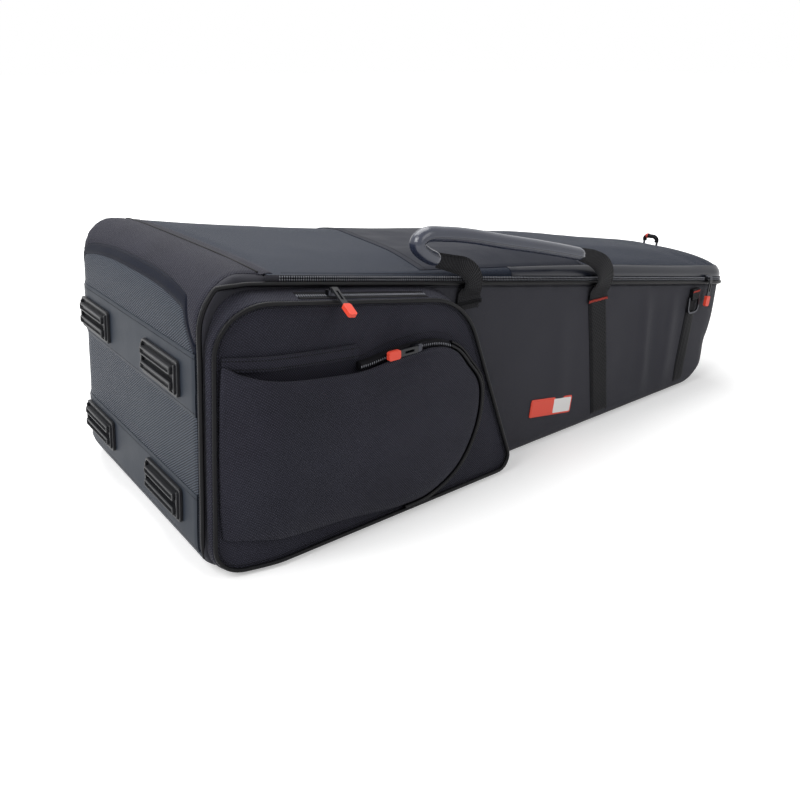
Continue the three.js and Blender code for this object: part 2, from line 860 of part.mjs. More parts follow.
// A slider with its bridge, a slotted pull and a soft tip. X is along the zip and Z outward.
function makeSlider(prefix, turned, tilt) {
  const rectangle = (width, height, radius) => {
    const corners = [[-1, -1], [1, -1], [1, 1], [-1, 1]].map(([across, up]) => (
      vector((across * width) / 2, (up * height) / 2)));
    return roundedPolygon(corners, corners.map(() => radius));
  };
  const along = turned ? sliderWidth : sliderLength;
  const across = turned ? sliderLength : sliderWidth;
  const base = toSolid(slab(rectangle(along, across, sliderWidth / 4), 0, sliderThickness));
  const bridgePlan = rectangle(bridgeLength, bridgeHeight, bridgeHeight / 4);
  const bridge = toSolid(slab(bridgePlan, sliderThickness / 2, sliderThickness + bridgeHeight));
  const slider = namedMesh(`${prefix}_slider`, 'metal', toGeometry(base.add(bridge)));

  const pivotGap = pullThickness * 0.75 + clearance;
  const pullFrame = new THREE.Group();
  pullFrame.name = `${prefix}_pivot`;
  pullFrame.position.set(0, -bridgeHeight / 2 - pivotGap, sliderThickness + pivotGap + pullThickness / 4);
  pullFrame.rotation.x = tilt;
  const half = pullThickness / 2;
  const shape = new THREE.Shape(roundedPolygon([
    vector(-pullWidth / 2, -pullLength),
    vector(pullWidth / 2, -pullLength),
    vector(pullWidth / 2, half),
    vector(-pullWidth / 2, half),
  ], [half, half, half, half]));
  const slotTop = half - (pullLength - pullSlotLength) / 2;
  shape.holes.push(new THREE.Path([
    vector(-pullSlotWidth / 2, slotTop - pullSlotLength),
    vector(-pullSlotWidth / 2, slotTop),
    vector(pullSlotWidth / 2, slotTop),
    vector(pullSlotWidth / 2, slotTop - pullSlotLength),
  ]));
  const plate = new THREE.ExtrudeGeometry(shape, { depth: pullThickness, bevelEnabled: false });
  plate.translate(0, 0, -half);
  const tipPlan = rectangle(tipWidth, tipLength, tipWidth / 4);
  const tip = slab(tipPlan, -tipThickness / 2, tipThickness / 2);
  tip.translate(0, -pullLength - clearance - tipLength / 2, 0);
  pullFrame.add(
    namedMesh(`${prefix}_pull`, 'moulded', closedGeometry(plate)),
    namedMesh(`${prefix}_tip`, 'rubber', tip),
  );
  const whole = new THREE.Group();
  whole.add(slider, pullFrame);
  return whole;
}

function placeSliders() {
  const mainAlong = caseLength - mainSliderInset;
  [[frontSide, 1, 'front_main'], [rearSide, -1, 'rear_main']].forEach(([side, sense, prefix]) => {
    const whole = makeSlider(prefix, false, 0);
    whole.position.set(sense * mainAlong, zipHeightAlong(mainAlong) + sliderLift, zipProud + clearance);
    whole.rotation.z = -sense * slopeAngle;
    side.add(whole);
  });

  const large = makeSlider('large_pocket', false, THREE.MathUtils.degToRad(restTilt));
  const largeAlong = mouthStart + mouthLength * 0.25;
  const largeHeight = zipHeightAlong(largeAlong) - pocketTopGap + mouthTapeThickness + 2 * clearance;
  large.position.set(largeAlong, largeHeight, mouthOff);
  large.rotation.set(-Math.PI / 2, 0, -slopeAngle, 'ZYX');
  frontSide.add(large);

  const small = makeSlider('small_pocket', true, 0);
  const rim = domePoint([smallSliderShare, domeShares[5][1]]);
  const middle = rim.y + clearance + sliderWidth * 0.62;
  small.position.set(rim.x, middle, pocketDepth + domeZipDepth + 2 * clearance);
  small.rotation.z = -Math.PI / 2;
  frontSide.add(small);
}

// Webbing sewn flat on a side face, from near the floor to the handle's anchor
function anchorHeight(along) {
  return zipHeightAlong(along) - anchorDrop;
}

function strap(name, sense, topAlong, bottomAlong, bottom) {
  const half = webbingWidth / 2;
  const top = anchorHeight(topAlong) + leftTabHeight / 2;
  const points = [
    vector(sense * (bottomAlong - half), bottom),
    vector(sense * (bottomAlong + half), bottom),
    vector(sense * (topAlong + half), top),
    vector(sense * (topAlong - half), top),
  ];
  return namedMesh(name, 'webbing', slab(points, clearance, clearance + webbingThickness));
}

function makeStraps() {
  const leftBottom = anchorHeight(leftStrapAlong) - leftTabHeight / 2;
  const lowAlong = rightStrapAlong + rightStrapSlant;
  frontSide.add(strap('front_strap_left', 1, leftStrapAlong, leftStrapAlong, leftBottom));
  frontSide.add(strap('front_strap_right', 1, rightStrapAlong, lowAlong, strapBottom));
  rearSide.add(strap('rear_strap_left', -1, leftStrapAlong, leftStrapAlong - rightStrapSlant, strapBottom));
  rearSide.add(strap('rear_strap_right', -1, rightStrapAlong, lowAlong, strapBottom));
}

function bartack(sense, along, height, off, length) {
  const half = bartackHeight / 2;
  const points = [
    vector(-length / 2, -half),
    vector(length / 2, -half),
    vector(length / 2, half),
    vector(-length / 2, half),
  ];
  const bar = slab(points, off, off + bartackThickness);
  return bar.translate(sense * along, height, 0);
}

function makeBartacks() {
  const off = webbingThickness + 2 * clearance;
  [[frontSide, 1, 'front'], [rearSide, -1, 'rear']].forEach(([side, sense, prefix]) => {
    [['left', leftStrapAlong], ['right', rightStrapAlong]].forEach(([end, along]) => {
      const bar = bartack(sense, along, anchorHeight(along), off, bartackLength);
      side.add(namedMesh(`${prefix}_bartack_${end}`, 'thread', bar));
    });
  });
}

// Handle places: the first share runs from the left to the right anchor, the second is
// a share of the handle's height above the anchors, and the third a share of its stand-off.
const frontGripShares = [
  [0.76, 0.79, 1], [0.6, 0.84, 1], [0.436, 0.884, 1], [0.152, 0.947, 1], [-0.048, 1.0, 1],
  [-0.208, 1.01, 1], [-0.328, 0.98, 1], [-0.372, 0.86, 1], [-0.33, 0.74, 1], [-0.25, 0.65, 1],
];
const frontLeftShares = [
  [0.0, 0.045, 0.235], [0.0, 0.13, 0.235], [0.004, 0.28, 0.62], [-0.02, 0.44, 0.9], [-0.085, 0.56, 1.05],
  [-0.15, 0.6, 1], [-0.2435, 0.645, 1],
];
const frontRightShares = [
  [1.0, 0.045, 0.235], [1.0, 0.13, 0.235], [1.004, 0.28, 0.62], [0.995, 0.43, 0.9], [0.955, 0.6, 1.05],
  [0.88, 0.72, 1], [0.764, 0.788, 1],
];
const rearGripShares = [[0.84, -0.86, 1], [0.68, -0.93, 1], [0.5, -0.95, 1], [0.32, -0.93, 1], [0.16, -0.86, 1]];
const rearLeftShares = [
  [0.0, -0.045, 0.235], [0.0, -0.13, 0.235], [0.0, -0.3, 0.62], [0.01, -0.5, 0.9], [0.045, -0.7, 1],
  [0.09, -0.8, 1], [0.1545, -0.857, 1],
];
const rearRightShares = rearLeftShares.map(([u, v, w]) => [1 - u, v, w]);
const ribbonWidthShares = [1, 1, 1, 0.92, 0.78, 0.6, 0.45];

function handlePoint(sense, [u, v, w]) {
  const along = leftStrapAlong + u * (rightStrapAlong - leftStrapAlong);
  return new THREE.Vector3(sense * along, anchorHeight(along) + v * handleHeight, w * gripOff);
}

// A flat ribbon that keeps facing outward along its path and narrows by shares of the webbing's width
function ribbon(points) {
  const path = new THREE.CatmullRomCurve3(points, false, 'centripetal');
  const last = points.length - 1;
  const count = last * 2;
  const outward = new THREE.Vector3(0, 0, 1);
  const rings = [];
  for (let step = 0; step <= count; step += 1) {
    const share = step / count;
    const middle = path.getPoint(share);
    const run = path.getTangent(share);
    const across = new THREE.Vector3().crossVectors(run, outward).normalize();
    const facing = new THREE.Vector3().crossVectors(across, run).normalize();
    const place = share * last;
    const low = Math.min(Math.floor(place), last - 1);
    const width = THREE.MathUtils.lerp(ribbonWidthShares[low], ribbonWidthShares[low + 1], place - low);
    across.multiplyScalar((width * webbingWidth) / 2);
    facing.multiplyScalar(webbingThickness / 2);
    rings.push([
      middle.clone().sub(across).sub(facing),
      middle.clone().add(across).sub(facing),
      middle.clone().add(across).add(facing),
      middle.clone().sub(across).add(facing),
    ]);
  }
  return ringSolid(rings);
}

function makeHandle(side, sense, prefix, grip, left, right) {
  const place = (shares) => shares.map((share) => handlePoint(sense, share));
  side.add(namedMesh(`${prefix}_grip`, 'leather', tube(place(grip), gripRadius, 2, false)));
  side.add(namedMesh(`${prefix}_loop_left`, 'webbing', ribbon(place(left))));
  side.add(namedMesh(`${prefix}_loop_right`, 'webbing', ribbon(place(right))));
}

// A ring hung in a folded webbing tab. Y is up the tab, and Z outward.
function ringTabLoop() {
  const inner = ringBar / 2 + ringPlay;
  const deep = ringThickness / 2 + ringPlay;
  const block = (low, high, half, reach) => toSolid(lengthwiseSlab([
    vector(low, -half),
    vector(high, -half),
    vector(high, half),
    vector(low, half),
  ], -reach, reach));
  const half = ringTabWidth / 2;
  const whole = block(-inner - ringTabThickness, ringTabHeight, deep + ringTabThickness, half);
  return toGeometry(whole.subtract(block(-inner, inner, deep, ringTabWidth)));
}

function ringGeometry() {
  const top = ringBar / 2;
  const bottom = ringBar / 2 - ringHeight;
  const half = ringWidth / 2;
  const bar = ringBar;
  const outer = roundedPolygon([
    vector(-half, bottom), vector(half, bottom), vector(half, top), vector(-half, top),
  ], [half * 0.6, half * 0.6, bar / 2, bar / 2]);
  const inner = roundedPolygon([
    vector(-half + bar, bottom + bar),
    vector(half - bar, bottom + bar),
    vector(half - bar, top - bar),
    vector(-half + bar, top - bar),
  ], [half * 0.45, half * 0.45, bar / 4, bar / 4]);
  const shape = new THREE.Shape(outer);
  shape.holes.push(new THREE.Path(inner.reverse()));
  const ring = new THREE.ExtrudeGeometry(shape, { depth: ringThickness, bevelEnabled: false });
  return closedGeometry(ring.translate(0, 0, -ringThickness / 2));
}

const ringSeat = clearance + ringTabThickness + ringThickness / 2 + ringPlay;

function makeFrontRing() {
  const height = zipHeightAlong(ringAlong) - ringDrop;
  const place = new THREE.Group();
  place.name = 'front_ring_pivot';
  place.position.set(ringAlong, height, ringSeat);
  place.add(
    namedMesh('front_ring', 'metal', ringGeometry()),
    namedMesh('front_ring_tab', 'webbing', ringTabLoop()),
  );
  const top = height - ringBar / 2 - ringPlay - ringTabThickness - clearance;
  const half = ringWebWidth / 2;
  const low = ringAlong - ringWebSlant;
  const web = slab([
    vector(low - half, strapBottom),
    vector(low + half, strapBottom),
    vector(ringAlong + half, top),
    vector(ringAlong - half, top),
  ], clearance, clearance + ringTabThickness);
  frontSide.add(place, namedMesh('front_ring_web', 'webbing', web));
}

function makeTag() {
  const corners = [
    vector(0, 0), vector(tagLength, 0), vector(tagLength, tagHeight), vector(0, tagHeight),
  ];
  const plan = roundedPolygon(corners, corners.map(() => tagRadius));
  const tag = namedMesh('name_tag', 'tag', slab(plan, clearance, clearance + tagThickness));
  tag.position.set(tagAlong, tagBottom, 0);
  tag.rotation.z = -slopeAngle;
  frontSide.add(tag);
}

// Leatherette on the lid: the sloping patch under the handle and the band along its edge
function makeLidCovering() {
  const above = aboveZip(zipGap / 2 + seamGap, seamGap);
  const patchInset = lidBandInset + seamGap;
  const patch = planBlock([
    planCorner(patchFrontStart, -1, patchInset),
    planCorner(patchFrontEnd, -1, patchInset),
    planCorner(patchRearEnd, 1, patchInset),
    planCorner(patchRearStart, 1, patchInset),
  ]);
  const inner = [-1, 1].map((level) => {
    const ringSide = (side, radius) => sidePlan(lidBandInset, radius).map((point) => (
      atZip(point, side, level * bellHeight)));
    return ringSide(-1, bellFrontRadius).concat(ringSide(1, bellRearRadius).reverse());
  });
  const far = caseLength + bellHeight;
  const beyond = planBetween(lidBandStart, far, -overrun);
  const band = above.intersect(beyond).subtract(toSolid(ringSolid(inner)));
  return [
    namedMesh('lid_patch', 'leather', skin(0, patch.intersect(above))),
    namedMesh('lid_edge_band', 'leather', skin(0, band)),
  ];
}

// Foam that holds the instrument. Each block is cut to the inside of the padded walls.
function notchedBlock(halfWidth, height, notchRadius, notchRise, start, stop) {
  const half = Math.sqrt(notchRadius ** 2 - notchRise ** 2);
  const turn = Math.asin(half / notchRadius);
  const points = [vector(-halfWidth, 0), vector(halfWidth, 0), vector(halfWidth, height)];
  for (let step = 0; step <= arcSteps; step += 1) {
    const angle = turn * (1 - (2 * step) / arcSteps);
    const up = height + notchRise - notchRadius * Math.cos(angle);
    points.push(vector(notchRadius * Math.sin(angle), up));
  }
  points.push(vector(-halfWidth, height));
  return toSolid(lengthwiseSlab(points, start, stop));
}

function makeFittings() {
  const inside = bodySolid(paddedWall + clearance);
  const cradleStop = paddedWall + cradleLength;
  const cradleNotch = cradleNotchRadius * cradleNotchShare;
  const cradle = notchedBlock(bellWidth / 2, cradleHeight, cradleNotchRadius, cradleNotch, 0, cradleStop);

  const behind = paddedWall + dividerOffset;
  const top = (along) => zipHeightAlong(along) - dividerDrop;
  const divider = slab([
    vector(-dividerEnd, paddedWall + clearance),
    vector(-dividerStart, paddedWall + clearance),
    vector(-dividerStart, top(dividerStart)),
    vector(-dividerEnd, top(dividerEnd)),
  ], -behind - dividerThickness, -behind);
  rearSide.add(namedMesh('slide_divider', 'foam', divider));

  const neckStop = neckAlong + neckLength;
  const rearInset = (behind + dividerThickness + clearance) / Math.cos(taperAngle) + clearance;
  const plan = planBlock([
    planCorner(neckAlong, -1, 0),
    planCorner(neckStop, -1, 0),
    planCorner(neckStop, 1, rearInset),
    planCorner(neckAlong, 1, rearInset),
  ]);
  const neck = notchedBlock(bellWidth / 2, neckHeight, neckNotchRadius, 0, neckAlong, neckStop);
  const band = neckBand();
  return [
    namedMesh('bell_cradle', 'foam', toGeometry(cradle.intersect(inside))),
    namedMesh('neck_block', 'foam', toGeometry(neck.intersect(plan).intersect(inside))),
    namedMesh('neck_band', 'webbing', band),
  ];
}

// A closing band that arches over the neck's notch and stands on the block
function neckBand() {
  const inner = neckNotchRadius + strapBandThickness;
  const outer = inner + strapBandThickness;
  const base = neckHeight + clearance;
  const foot = outer + strapBandWidth / 2;
  const arc = (radius, from, to) => {
    const points = [];
    for (let step = 0; step <= arcSteps; step += 1) {
      const angle = from + ((to - from) * step) / arcSteps;
      points.push(vector(radius * Math.cos(angle), base + radius * Math.sin(angle)));
    }
    return points;
  };
  const start = Math.asin(strapBandThickness / outer);
  const points = [
    vector(foot, base),
    vector(foot, base + strapBandThickness),
    ...arc(outer, start, Math.PI - start),
    vector(-foot, base + strapBandThickness),
    vector(-foot, base),
    ...arc(inner, Math.PI, 0),
  ];
  const middle = neckAlong + neckLength / 2;
  return lengthwiseSlab(points, middle - strapBandWidth / 2, middle + strapBandWidth / 2);
}

// The second ring stands up from a tab sewn on the lid's wall at the narrow end.
function makeEndRing() {
  const place = new THREE.Group();
  place.name = 'end_ring_pivot';
  place.add(
    namedMesh('end_ring', 'metal', ringGeometry()),
    namedMesh('end_ring_tab', 'webbing', ringTabLoop()),
  );
  place.position.set(endTabAcross, zipHeightAt(caseLength) + endTabRise, ringSeat);
  place.rotation.z = Math.PI;
  const end = new THREE.Group();
  end.quaternion.setFromRotationMatrix(new THREE.Matrix4().makeBasis(
    new THREE.Vector3(0, 1, 0),
    new THREE.Vector3(Math.sin(leanAngle), 0, Math.cos(leanAngle)),
    new THREE.Vector3(Math.cos(leanAngle), 0, -Math.sin(leanAngle)),
  ));
  end.position.x = caseLength;
  end.add(place);
  return end;
}

// Fabric tab that closes the start of the main zip, just above the piping
function makeZipTab() {
  const stop = (deckLength + zipStart - seamGap) / Math.cos(taperAngle);
  const low = clearance + pipingRadius - pipingDrop;
  const points = [
    vector(stop - tabLength, zipHeightAlong(stop - tabLength) + low),
    vector(stop, zipHeightAlong(stop) + low),
    vector(stop, zipHeightAlong(stop) + low + tabHeight),
    vector(stop - tabLength, zipHeightAlong(stop - tabLength) + low + tabHeight),
  ];
  frontSide.add(namedMesh('zip_end_tab', 'twill', slab(points, clearance, clearance + tabThickness)));
}

const zipRows = makeZipRows();
const group = new THREE.Group();
group.position.x = -caseLength / 2;
frontSide.add(...makeLargePocket(), ...makeSmallPocket());
placeSliders();
makeStraps();
makeBartacks();
makeHandle(frontSide, 1, 'front_handle', frontGripShares, frontLeftShares, frontRightShares);
makeHandle(rearSide, -1, 'rear_handle', rearGripShares, rearLeftShares, rearRightShares);
makeFrontRing();
makeTag();
makeZipTab();
group.add(makeShell(), makeLidPanel(), ...makeEndCovering(), makeFeet(), makeEndRing());
group.add(...makeLidCovering(), ...makeFittings());
group.add(zipRows.body, zipRows.lid, makeRimPiping(), frontSide, rearSide);

export default group;
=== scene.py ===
import json
import math
from contextlib import contextmanager

import bmesh
import bpy
from mathutils import Matrix, Vector, noise
from mathutils.bvhtree import BVHTree

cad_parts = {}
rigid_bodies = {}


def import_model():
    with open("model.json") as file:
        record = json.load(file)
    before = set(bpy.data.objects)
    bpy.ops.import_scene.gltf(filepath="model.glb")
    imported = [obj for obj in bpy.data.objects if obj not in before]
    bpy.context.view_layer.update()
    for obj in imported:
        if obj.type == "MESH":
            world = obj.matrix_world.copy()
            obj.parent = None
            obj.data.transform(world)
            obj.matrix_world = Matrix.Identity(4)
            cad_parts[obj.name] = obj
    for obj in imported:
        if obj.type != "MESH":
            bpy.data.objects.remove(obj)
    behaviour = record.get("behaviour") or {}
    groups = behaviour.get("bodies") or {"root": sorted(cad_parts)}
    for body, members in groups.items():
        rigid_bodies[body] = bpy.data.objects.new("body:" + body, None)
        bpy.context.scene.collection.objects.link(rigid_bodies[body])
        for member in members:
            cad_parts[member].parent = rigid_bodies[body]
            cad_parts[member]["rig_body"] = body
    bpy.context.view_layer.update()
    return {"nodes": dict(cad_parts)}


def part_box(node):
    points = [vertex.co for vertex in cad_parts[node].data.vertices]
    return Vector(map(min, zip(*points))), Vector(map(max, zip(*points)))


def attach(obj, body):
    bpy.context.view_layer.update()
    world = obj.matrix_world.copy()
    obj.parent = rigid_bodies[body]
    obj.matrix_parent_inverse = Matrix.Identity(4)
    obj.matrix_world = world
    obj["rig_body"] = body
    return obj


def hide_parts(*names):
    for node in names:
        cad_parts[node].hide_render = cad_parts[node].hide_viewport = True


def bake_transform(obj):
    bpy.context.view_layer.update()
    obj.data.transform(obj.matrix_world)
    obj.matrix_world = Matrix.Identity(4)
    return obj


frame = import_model()

bl_info = {
    "name": "Padded trombone case",
    "version": (1, 0, 0),
    "blender": (4, 5, 0),
    "location": "3D View > Sidebar > Case",
    "description": "Dresses the trombone case in its fabrics, zips, webbing and hardware",
    "category": "Object",
}

# Measures of the case: lengths in millimetres, and slopes, angles, powers, shares and counts
MM = 0.001
CASE_LENGTH = 950
MIDDLE = CASE_LENGTH / 2
BELL_WIDTH = 404
BELL_HEIGHT = 314
ZIP_SLOPE = 148 / CASE_LENGTH
TAPER_RATE = 86 / CASE_LENGTH
LEAN_RATE = 24 / BELL_HEIGHT
TAPER = math.atan(TAPER_RATE)
SLOPE = math.atan(ZIP_SLOPE * math.cos(TAPER))
HINGE_SEAM = 95
NARROW_RADIUS = 45
CORNER_SOLID = 50
CORNER_DEEP = 82
CORNER_TALL = 118
BELL_FRONT_RADIUS = 6
LOW_ARC_RADIUS = 35
TOP_ARC_RADIUS = 55
TOP_ARC_X = 78
TOP_ARC_HEIGHT = 258
END_SEAM_HEIGHT = 281
END_SEAM_FALL = 18
END_SHOULDER = 30
END_INSET = 7.5
LID_EDGE = 7
LID_SKIN = 2.9
LID_WALL = 14
CROWN_RISE = 26
CROWN_REACH = 0.62
CROWN_POWER = 3
EDGE_BAND_START = 440
BAND_WIDTH = 9
BAND_LIFT = 3.5
PATCH_START = (298, 352)
PATCH_END = (592, 560)
STRIP_HEIGHT = 63
FOOT_ACROSS = 107.5
FOOT_HEIGHTS = (("lower", 65), ("upper", 202))
POCKET_DEPTH = 25
POCKET_FACE = POCKET_DEPTH + 0.3
POCKET_DROP = 17
POCKET_SINK = 0.52
MOUTH_START = 118
MOUTH_END = 284
POCKET_RADII = (32, 20, 88, 52)
DOME_START = 10
DOME_LENGTH = 351
DOME_BOTTOM = 15
DOME_HEIGHT = 215
DOME_SPAN = 8
DOME_RISE = 20
DOME_LIP = 11
DOME_WALL = 2.4
WEBBING_WIDTH = 38
LEFT_STRAP = 366
RIGHT_STRAP = 616
STRAP_SLANT = 29
STRAP_FOOT = 17
ANCHOR_DROP = 29
HANDLE_HEIGHT = 80
GRIP_OFF = 15
RING_ALONG = 862
TAG_ALONG = 489
TAG_HEIGHT = 47
POCKET_MIDDLE = Vector((205, 135, 0))
# Sewn cloth in millimetres: its lift over what it is sewn to and its usual thickness
PANEL_LIFT = 0.3
PANEL_THICKNESS = 1.2
# Where rays start, in millimetres above the floor and beside the case
ABOVE = 420
BESIDE = 60
# In metres: the distance at which loose vertices join, and half a ribbon's thickness
WELD = 0.00002
RIBBON_HALF = 0.0009
UP = Vector((0, 0, 1))
DOWN = Vector((0, 0, -1))

# Lamps: name, place, size, power and the place that each is turned to
LAMPS = [
    ("KeyLamp", (-1.9, -0.3, 1.7), 1.4, 40, (-0.3, 0, 0.2)),
    ("TopLamp", (0.1, 0.9, 2.1), 2.0, 46, (0, 0, 0.1)),
    ("SideLamp", (0.9, -2.3, 1.5), 1.6, 16, (0.1, 0, 0.15)),
]
# The photograph's camera: place, millimetres of focal length, degrees down and degrees round
CAMERA_PLACE = (-0.740, -0.924, 0.4905)
CAMERA_LENS = 38.44
CAMERA_DOWN = 21.5
CAMERA_ROUND = -35.22
FLOOR_REACH = 40
# Folds of the side cloth: how far they stand out, their place, their width and the way they lean
SIDE_FOLDS = [
    (1.9, 742, 11, 1), (-1.6, 768, 14, 1), (1.7, 806, 11, -1), (-1.2, 836, 13, 0),
    (1.1, 548, 18, 1), (-0.9, 690, 26, 0),
]
# Places on the small pocket's outline: shares of its length and height
DOME_SHARES = [
    (0, 1), (0.071, 0.938), (0.18, 0.889), (0.32, 0.857), (0.466, 0.837), (0.622, 0.86),
    (0.793, 0.851), (0.88, 0.79), (0.935, 0.698), (0.985, 0.6), (1, 0.516), (0.983, 0.326),
    (0.905, 0.121), (0.778, 0.014), (0.66, 0), (0.417, 0.051), (0.183, 0.084), (0, 0.144),
]
LIP_SHARES = [0.4, 1, 1, 1, 1, 1, 0.8, 0.4]
DOME_MIDDLE = (0.5, 0.45)
# Rows of the lid and the small pocket: shares of the way from the edge to the middle
LID_SHARES = [
    0, 0.003, 0.01, 0.022, 0.04, 0.065, 0.1, 0.145, 0.2, 0.27, 0.35, 0.44, 0.54, 0.65, 0.77, 0.89, 1,
]
DOME_ROWS = [0, 0.006, 0.02, 0.045, 0.08, 0.125, 0.18, 0.25, 0.33, 0.42, 0.52, 0.63, 0.74, 0.85, 0.94]
# Rows of the large pocket: millimetres up its wall, and shares of the way to its face's middle
WALL_ROWS = [0.3, 3, 6.5, 10, 13, 16, 18.5, 21, 23.2]
FACE_ROWS = [
    0.013, 0.03, 0.055, 0.085, 0.12, 0.16, 0.2, 0.25, 0.3, 0.36, 0.43, 0.5, 0.58, 0.66, 0.74, 0.82,
    0.9, 0.97,
]
# Places on the handles: shares between the anchors, of the height above them and of the stand-off
FRONT_GRIP = [
    (0.76, 0.79, 1), (0.6, 0.84, 1), (0.436, 0.884, 1), (0.152, 0.947, 1), (-0.048, 1.0, 1),
    (-0.208, 1.01, 1), (-0.328, 0.98, 1), (-0.372, 0.86, 1), (-0.33, 0.74, 1), (-0.25, 0.65, 1),
]
FRONT_LEFT = [
    (0.0, 0.045, 0.235), (0.0, 0.13, 0.235), (0.004, 0.28, 0.62), (-0.02, 0.44, 0.9),
    (-0.085, 0.56, 1.05), (-0.15, 0.6, 1), (-0.2435, 0.645, 1),
]
FRONT_RIGHT = [
    (1.0, 0.045, 0.235), (1.0, 0.13, 0.235), (1.004, 0.28, 0.62), (0.995, 0.43, 0.9),
    (0.955, 0.6, 1.05), (0.88, 0.72, 1), (0.764, 0.788, 1),
]
REAR_GRIP = [(0.84, -0.86, 1), (0.68, -0.93, 1), (0.5, -0.95, 1), (0.32, -0.93, 1), (0.16, -0.86, 1)]
REAR_LEFT = [
    (0.0, -0.045, 0.235), (0.0, -0.13, 0.235), (0.0, -0.3, 0.62), (0.01, -0.5, 0.9),
    (0.045, -0.7, 1), (0.09, -0.8, 1), (0.1545, -0.857, 1),
]
REAR_RIGHT = [(1 - u, v, w) for u, v, w in REAR_LEFT]
# The loops' width at each of their places, and the point from which their stitches are clear
RIBBON_WIDTHS = [1, 1, 1, 0.92, 0.78, 0.6, 0.45]
TWISTED_WIDTHS = [1, 0.96, 0.82, 0.68, 0.6, 0.52, 0.45]
LOOP_SEWN_FROM = 12


def linear(code):
    """An sRGB hex colour as linear red, green and blue."""
    parts = [int(code[i:i + 2], 16) / 255 for i in (1, 3, 5)]
    return tuple(p / 12.92 if p <= 0.04045 else ((p + 0.055) / 1.055) ** 2.4 for p in parts)


def colour_property(label, about, code):
    return bpy.props.FloatVectorProperty(
        name=label, description=about, default=linear(code), subtype="COLOR", size=3, min=0, max=1
    )


def length_property(label, about, millimetres):
    return bpy.props.FloatProperty(
        name=label, description=about, default=millimetres * MM, unit="LENGTH", min=0.0001
    )


class CaseColours(bpy.types.PropertyGroup):
    twill: colour_property("Twill", "Nylon twill of the pockets and the bell end", "#34343e")
    side: colour_property("Side cloth", "Smooth cloth of the body", "#3a3a40")
    lid: colour_property("Lid cloth", "Plain cloth of the lid", "#1a212f")
    end_weave: colour_property("End weave", "Coarse weave of the bell end", "#3e434c")
    leatherette: colour_property("Leatherette", "Patch and edge bands", "#0c101d")
    # Paler than the leatherette partly as a painted highlight on the grips
    grip: colour_property("Grip", "Leatherette of the grips", "#282d3d")
    vinyl: colour_property("Vinyl", "Strips under the feet", "#232932")
    piping: colour_property("Piping", "Corded piping", "#0e0e11")
    coil: colour_property("Zip tape", "Woven tape of the zips", "#17171a")
    # Pale partly as a painted highlight for the glints along the coil
    teeth: colour_property("Zip teeth", "Coil of the zips", "#73757c")
    webbing: colour_property("Webbing", "Ribbed webbing", "#141417")
    thread: colour_property("Red thread", "Bartacks", "#b8382a")
    seam: colour_property("Seam thread", "Stitches along the seams", "#131315")
    moulded: colour_property("Moulded nylon", "Feet and pulls", "#1c1d20")
    gunmetal: colour_property("Gunmetal", "Sliders and rings", "#3d3e43")
    tip: colour_property("Pull tips", "Soft tips of the zip pulls", "#e0452f")
    lining: colour_property("Lining", "Plush lining and foam", "#252529")
    tag_light: colour_property("Tag light part", "Pale part of the name tag", "#e6e4e2")


class CaseSizes(bpy.types.PropertyGroup):
    body_voxel: length_property("Body mesh", "Mesh size of the padded body", 5)
    foam_voxel: length_property("Foam mesh", "Mesh size of the foam blocks", 4)
    panel_step: length_property("Panel mesh", "Mesh size of the sewn panels", 4)
    twill_thread: length_property("Twill pitch", "Distance between twill ridges", 2.9)
    weave_thread: length_property("End weave pitch", "Distance between coarse threads", 3.0)
    webbing_rib: length_property("Webbing rib", "Distance between ribs of the webbing", 2.2)
    stitch_pitch: length_property("Stitch pitch", "Distance between stitches", 3.2)
    tooth_pitch: length_property("Tooth pitch", "Distance between teeth of the zips", 2.8)
    rim_piping: length_property("Rim piping", "Radius of the rim's piping", 2.6)
    pocket_piping: length_property("Pocket piping", "Radius of the large pocket's piping", 2.4)
    dome_piping: length_property("Dome piping", "Radius of the small pocket's piping", 1.8)
    grip_radius: length_property("Grip", "Radius of the padded grips", 9)


def colours():
    return bpy.context.scene.case_colours


def sizes():
    return bpy.context.scene.case_sizes


# Materials


def add_node(tree, kind, inputs=(), **settings):
    """Adds a node. An input is given a value, or is linked where the value is a socket."""
    node = tree.nodes.new(kind)
    for key, value in settings.items():
        setattr(node, key, value)
    for key, value in dict(inputs).items():
        if isinstance(value, bpy.types.NodeSocket):
            tree.links.new(value, node.inputs[key])
        else:
            node.inputs[key].default_value = value
    return node


def cleared_tree(owner):
    """The empty node tree of a material or a world."""
    owner.use_nodes = True
    owner.node_tree.nodes.clear()
    return owner.node_tree


def start_material(name, roughness, **constants):
    """A material with its shader; the constants are set on the shader's own sockets."""
    material = bpy.data.materials.new(name)
    tree = cleared_tree(material)
    shader = add_node(tree, "ShaderNodeBsdfPrincipled", {"Roughness": roughness})
    for key, value in constants.items():
        shader.inputs[key.replace("_", " ")].default_value = value
    add_node(tree, "ShaderNodeOutputMaterial", {"Surface": shader.outputs[0]})
    place = add_node(tree, "ShaderNodeTexCoord").outputs["Object"]
    return material, tree, shader, place


def ridges(tree, place, direction, pitch):
    """A wave from 0 to 1 along a direction, one for each pitch."""
    aim = Vector(direction) * (2 * math.pi / pitch)
    dot = add_node(tree, "ShaderNodeVectorMath", {0: place, 1: aim}, operation="DOT_PRODUCT")
    wave = add_node(tree, "ShaderNodeMath", {0: dot.outputs["Value"]}, operation="SINE")
    half = add_node(tree, "ShaderNodeMath", {0: wave.outputs[0], 1: 0.5, 2: 0.5}, operation="MULTIPLY_ADD")
    return half.outputs[0]


def tinted(tree, shader, colour, shade, low, high):
    """The base colour, darkened and lightened between two factors by a shade from 0 to 1."""
    factor = add_node(tree, "ShaderNodeMapRange", {"Value": shade, "To Min": low, "To Max": high})
    tint = add_node(
        tree, "ShaderNodeVectorMath", {0: colour[:], "Scale": factor.outputs[0]}, operation="SCALE"
    )
    tree.links.new(tint.outputs[0], shader.inputs["Base Color"])


